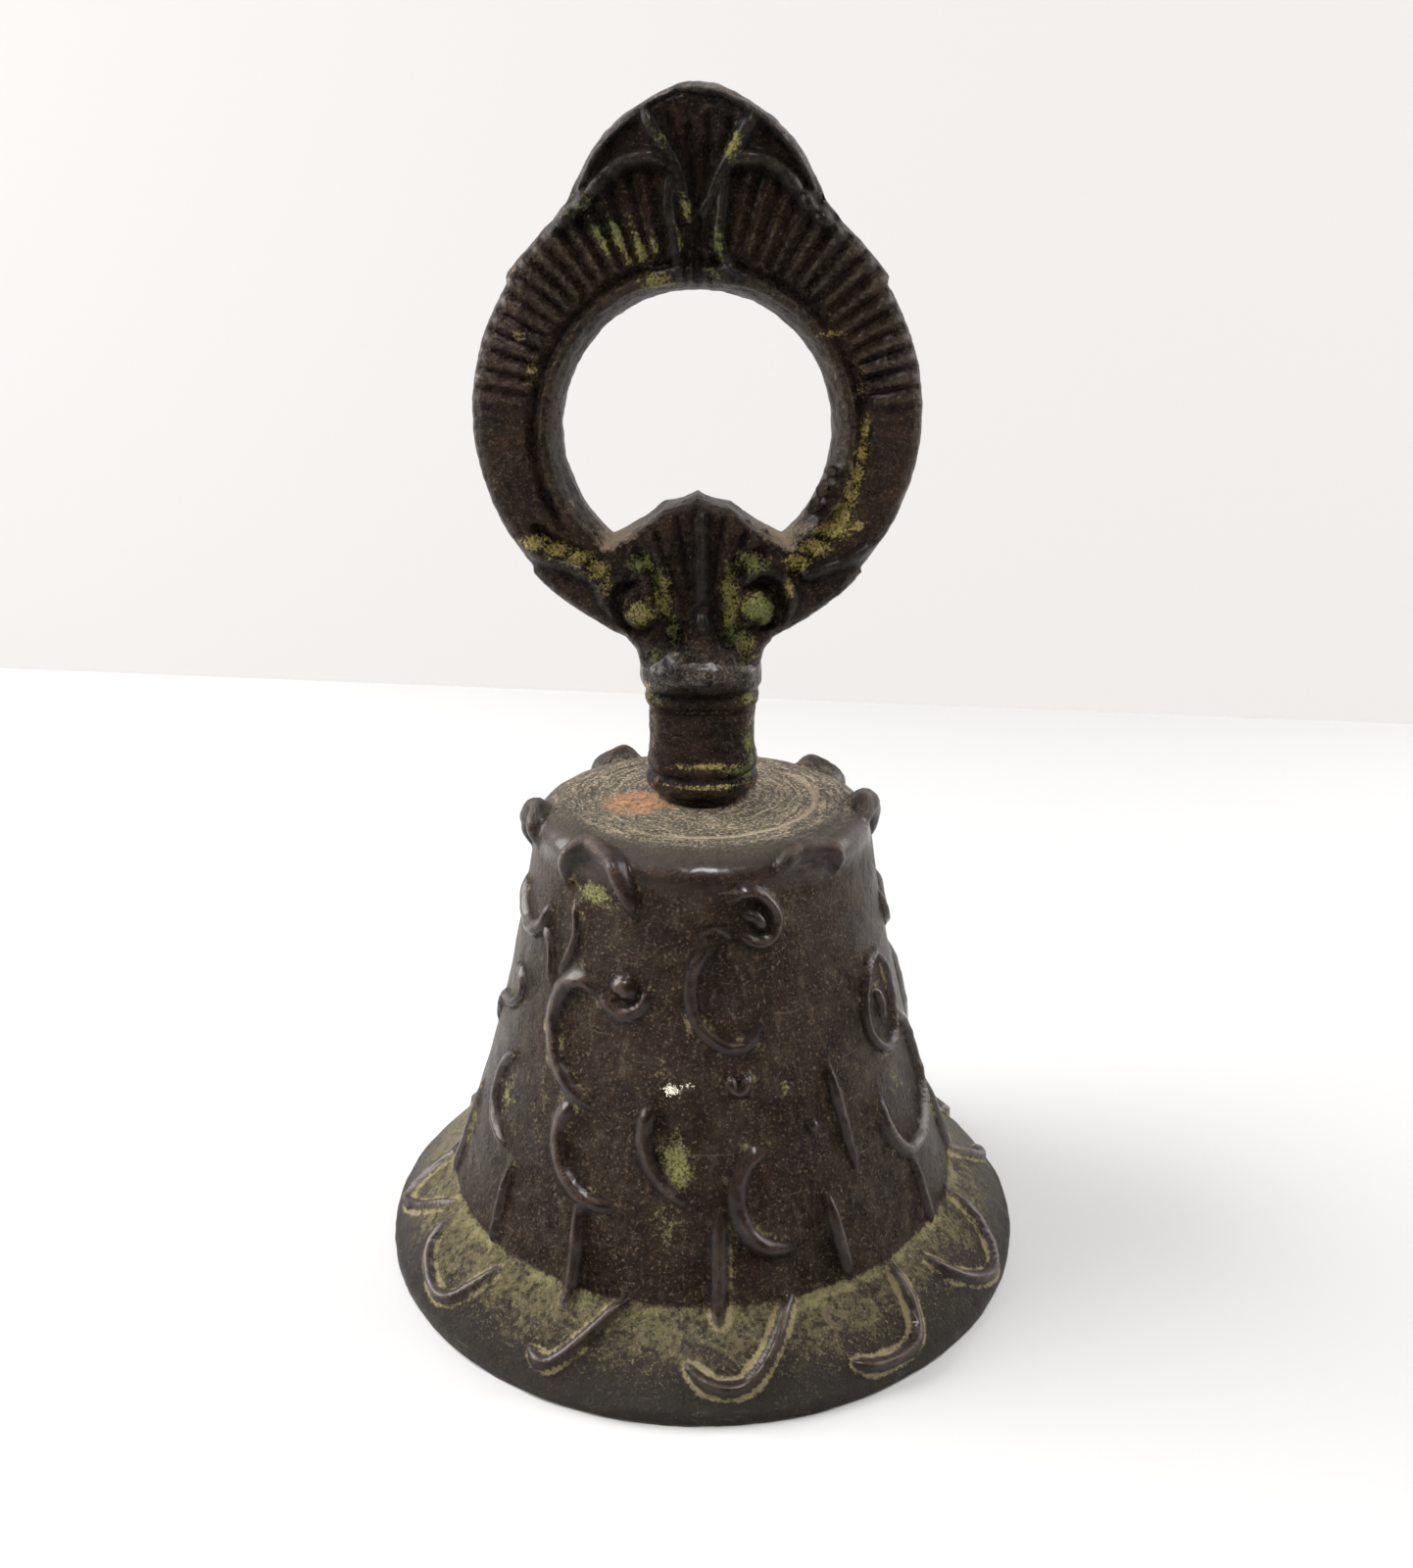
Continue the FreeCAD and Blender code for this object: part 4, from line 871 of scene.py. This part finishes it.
def old_brass_handle():
    """Near-black skin with red-brown patches, copper-coloured worn edges, green and ochre dirt, painted shade
    in the grooves, and a painted grey sheen on the swelling above the stem.
    """
    f = Finish("old_brass_handle", Specular_IOR_Level=0.28, Coat_Roughness=0.3)
    crest, foot, edge, dust = f.painted("crest"), f.painted("foot"), f.painted("edge"), f.painted("dust")
    green, ochre = f.painted("green"), f.painted("ochre")
    cloud, blots = f.clouds(0.2, 4.0), f.clouds(0.7, 6.0, 0.68, offset=4.0)
    grain, grit = f.clouds(2.0, 5.0, 0.75), f.clouds(4.2, 4.0, 0.75, offset=2.0)
    worn = (edge * 0.75 + crest * 0.3 + (grain - 0.5) * 2.4 + (blots - 0.5) * 2.0).between(0.7, 1.05)
    # painted sheen: a grey layer on the swelling above the stem stands in for its grey glints
    painted_nose_sheen = f.z.between(59.8, 61.0) * f.z.between(65.5, 63.0) * blots.between(0.34, 0.56)
    # painted shade: the grooves and the ground at the foot of the raised lines are darkened; the same mask
    # draws a little green dirt into the hollows
    hollows_shade_and_dirt = foot.between(0.3, 0.95)
    clumps = (blots - 0.5) * 1.2 + (grain - 0.5) * 1.7 + (grit - 0.5) * 2.0
    on_flutes = f.z.between(94.0, 96.0)
    lined = green * (1.0 + (crest - 0.55) * on_flutes * 0.9)
    dirt = (lined + hollows_shade_and_dirt * (1 - on_flutes) * 0.12 + clumps).between(0.55, 1.05)
    green_shade = f.blend(cloud.between(0.4, 0.6), (0.15, 0.172, 0.04), (0.32, 0.28, 0.072))
    green_shade = f.blend(grit.between(0.56, 0.34), green_shade, (0.034, 0.034, 0.011))
    crust = (ochre * 1.02 + clumps).between(0.52, 1.02)
    settled = (dust + clumps * 0.55).between(0.2, 0.85)
    colour = f.layered(
        f.blend(cloud.between(0.38, 0.64), (0.0072, 0.0042, 0.0027), (0.0185, 0.01, 0.0062)),
        (blots.between(0.5, 0.68) * 0.75, (0.038, 0.015, 0.009)),
        (grain.between(0.52, 0.64) * 0.6, (0.06, 0.044, 0.026)),
        (grit.between(0.56, 0.68) * 0.55, (0.2, 0.145, 0.09)),
        (crest.between(0.25, 0.9) * grain.between(0.42, 0.58) * 0.45, (0.075, 0.058, 0.034)),
        (worn * 0.7, f.blend(grit.between(0.35, 0.65), (0.06, 0.032, 0.02), (0.42, 0.26, 0.175))),
        (painted_nose_sheen * 0.5, f.blend(grit.between(0.44, 0.64), (0.02, 0.016, 0.013), (0.21, 0.18, 0.15))),
        (hollows_shade_and_dirt * 0.6, (0.0075, 0.0055, 0.0045)),
        (dirt * 0.9, green_shade),
        (crust * 0.9, f.blend(grit.between(0.36, 0.62), (0.085, 0.062, 0.016), (0.47, 0.375, 0.105))),
        (settled * 0.85, f.blend(grain, (0.15, 0.11, 0.068), (0.5, 0.385, 0.255))))
    dull = (dirt + crust + settled * 1.5) * 0.6
    roughness = 0.32 + (blots - 0.5) * 0.45 + (grit - 0.5) * 0.5 + dull * 0.35 - worn * 0.06
    metallic = (0.7 - dull * 0.7 + worn * 0.2).between(0.0, 1.0)
    relief = (grain - 0.5) * 0.44 + (grit - 0.5) * 0.27 + (blots - 0.5) * 0.36 + f.pits(0.7) * 0.1
    relief = relief + (dirt + crust) * 0.05
    coat = crest.between(0.3, 0.9) * 0.14 + painted_nose_sheen * 0.35 + blots.between(0.42, 0.6) * 0.1
    return f.lay_on(colour, roughness, metallic, relief, coat * (1 - dull).between(0.1, 0.8))


def rusted_iron():
    """Steel bolt and nut under a brown rust scale, with bare flecks."""
    f = Finish("rusted_iron")
    blots, grain, specks = f.clouds(0.55, 5.0, 0.65), f.clouds(2.2, 4.0, 0.7), f.clouds(6.0, 3.0, 0.7)
    bare = (grain + blots * 0.4).between(0.82, 0.92)
    colour = f.layered(
        f.blend(blots.between(0.34, 0.66), (0.055, 0.03, 0.02), (0.2, 0.075, 0.03)),
        (specks.between(0.5, 0.72) * 0.7, (0.33, 0.15, 0.055)), (bare, (0.17, 0.16, 0.15)))
    roughness = 0.84 + (grain - 0.5) * 0.3 - bare * 0.35
    return f.lay_on(colour, roughness, bare * 0.9, (blots - 0.5) * 0.16 + (grain - 0.5) * 0.12)


def iron_wire():
    """Dark drawn wire, rubbed brighter where the loops meet, with rust starting."""
    f = Finish("iron_wire")
    blots, grain = f.clouds(0.6, 4.0), f.clouds(2.6, 3.0, 0.7)
    drawn = f.clouds(3.2, 2.0, 0.5, (1, 1, 0.08))
    colour = f.blend(drawn, (0.045, 0.035, 0.03), (0.13, 0.105, 0.09))
    rust = (blots + (grain - 0.5) * 0.6).between(0.52, 0.66)
    colour = f.blend(rust * 0.8, colour, (0.21, 0.085, 0.035))
    rubbed = f.z.between(25.0, 26.6) * f.z.between(29.4, 28.4)
    rubbed = rubbed + f.z.between(31.2, 32.4) * f.z.between(36.6, 34.6)
    colour = f.blend(rubbed * grain.between(0.35, 0.6) * 0.7, colour, (0.3, 0.28, 0.26))
    roughness = 0.5 + rust * 0.3 + (grain - 0.5) * 0.3 - rubbed * 0.12
    return f.lay_on(colour, roughness, 0.85 - rust * 0.75, (grain - 0.5) * 0.06 + (drawn - 0.5) * 0.05)


def worn_brass_ball():
    """Brass ball, dull brown on top and below, with a bright belt of small dents where it strikes."""
    f = Finish("worn_brass_ball")
    blots, grain, specks = f.clouds(0.35, 4.0), f.clouds(1.5, 4.0, 0.7), f.clouds(5.0, 3.0, 0.7)
    ball_height = (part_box("clapper_ball")[0].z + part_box("clapper_ball")[1].z) / 2 / MM
    belt = (f.z + (blots - 0.5) * 3).between(ball_height - 4.2, ball_height - 1.6)
    belt = belt * (f.z + (blots - 0.5) * 3).between(ball_height + 4.6, ball_height + 2.0)
    colour = f.blend(blots.between(0.35, 0.65), (0.075, 0.05, 0.024), (0.15, 0.105, 0.05))
    colour = f.blend(grain.between(0.52, 0.75) * 0.5, colour, (0.11, 0.115, 0.055))
    struck = belt * grain.between(0.28, 0.58)
    colour = f.blend(struck * 0.8, colour, f.blend(specks, (0.33, 0.23, 0.1), (0.56, 0.41, 0.19)))
    dents = f.add("TexVoronoi", {"feature": "SMOOTH_F1"}, f.place, Scale=0.62, Smoothness=0.5, out="Distance")
    roughness = 0.56 - struck * 0.26 + (specks - 0.5) * 0.2
    relief = belt * dents.between(0.0, 0.7) * 0.1 + (grain - 0.5) * 0.1
    return f.lay_on(colour, roughness, 0.45 + struck * 0.5, relief)


def plain_stage(name, colour, glow, roughness):
    """Matt card with a faint tooth; a glow is a colour of light from behind, as on a light table."""
    f = Finish(name, Specular_IOR_Level=0.1, Emission_Color=(*glow, 1.0), Emission_Strength=1.0)
    tooth = f.clouds(0.05, 3.0)
    light = f.blend(tooth, [c * 0.985 for c in colour], colour)
    return f.lay_on(light, roughness + (tooth - 0.5) * 0.05, tooth * 0.0, tooth * 0.02)


body_finish, handle_finish = old_brass_body(), old_brass_handle()
rust_finish, wire_finish, ball_finish = rusted_iron(), iron_wire(), worn_brass_ball()
finishes = {"bell_body": body_finish, "handle": handle_finish, "eye_bolt": rust_finish,
            "clamp_washer": rust_finish, "clamp_nut": rust_finish, "clapper_link": wire_finish,
            "clapper_rod": wire_finish, "clapper_ball": ball_finish}
for node, finish in finishes.items():
    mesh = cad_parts[node].data
    mesh.materials.clear()
    mesh.materials.append(finish)
shell.data.materials.append(body_finish)
ring_handle.data.materials.append(handle_finish)

# ---- stage, light and camera
floor_bm = bmesh.new()
bmesh.ops.create_grid(floor_bm, x_segments=1, y_segments=1, size=1200)
floor = finished(floor_bm, "floor")
floor.data.materials.append(plain_stage("floor_card", (0.53, 0.526, 0.52), (0, 0, 0), 0.85))
wall_bm = bmesh.new()
bmesh.ops.create_grid(wall_bm, x_segments=1, y_segments=1, size=1200)
for degrees, axis in ((90, "X"), (-8, "Z")):
    matrix = Matrix.Rotation(math.radians(degrees), 3, axis)
    bmesh.ops.rotate(wall_bm, cent=(0, 0, 0), matrix=matrix, verts=wall_bm.verts)
bmesh.ops.translate(wall_bm, vec=(0, 200, 0), verts=wall_bm.verts)
wall_card = finished(wall_bm, "backdrop")
wall_card.data.materials.append(plain_stage("wall_card", (0.08, 0.078, 0.077), (0.765, 0.738, 0.725), 0.9))

camera_data = bpy.data.cameras.new("camera")
camera_data.lens = 34.0
camera_data.clip_start = 0.005
camera = bpy.data.objects.new("camera", camera_data)
camera.location = (0.42 * MM, -138.9 * MM, 99.2 * MM)
camera.rotation_euler = (math.radians(90 - 19.71), 0, 0)
bpy.context.scene.collection.objects.link(camera)
bpy.context.scene.camera = camera
bpy.context.scene.view_settings.view_transform = "Standard"

world = bpy.data.worlds.new("studio")
bpy.context.scene.world = world
world.use_nodes = True
world.node_tree.nodes["Background"].inputs["Color"].default_value = (1.0, 0.985, 0.97, 1)
world.node_tree.nodes["Background"].inputs["Strength"].default_value = 0.13


def softbox(name, place, aim, width, height, power):
    light = bpy.data.objects.new(name, bpy.data.lights.new(name, "AREA"))
    light.data.shape = "RECTANGLE"
    light.data.energy = power
    light.data.size, light.data.size_y = width * MM, height * MM
    light.location = Vector(place) * MM
    light.rotation_euler = (Vector(aim) - Vector(place)).to_track_quat("-Z", "Y").to_euler()
    bpy.context.scene.collection.objects.link(light)


softbox("overhead", (20, -190, 400), (0, 0, 40), 60, 60, 0.85)
softbox("left_card", (-320, 20, 230), (0, 0, 40), 300, 300, 3.2)
softbox("right_card", (330, 60, 200), (0, 0, 40), 300, 300, 1.7)
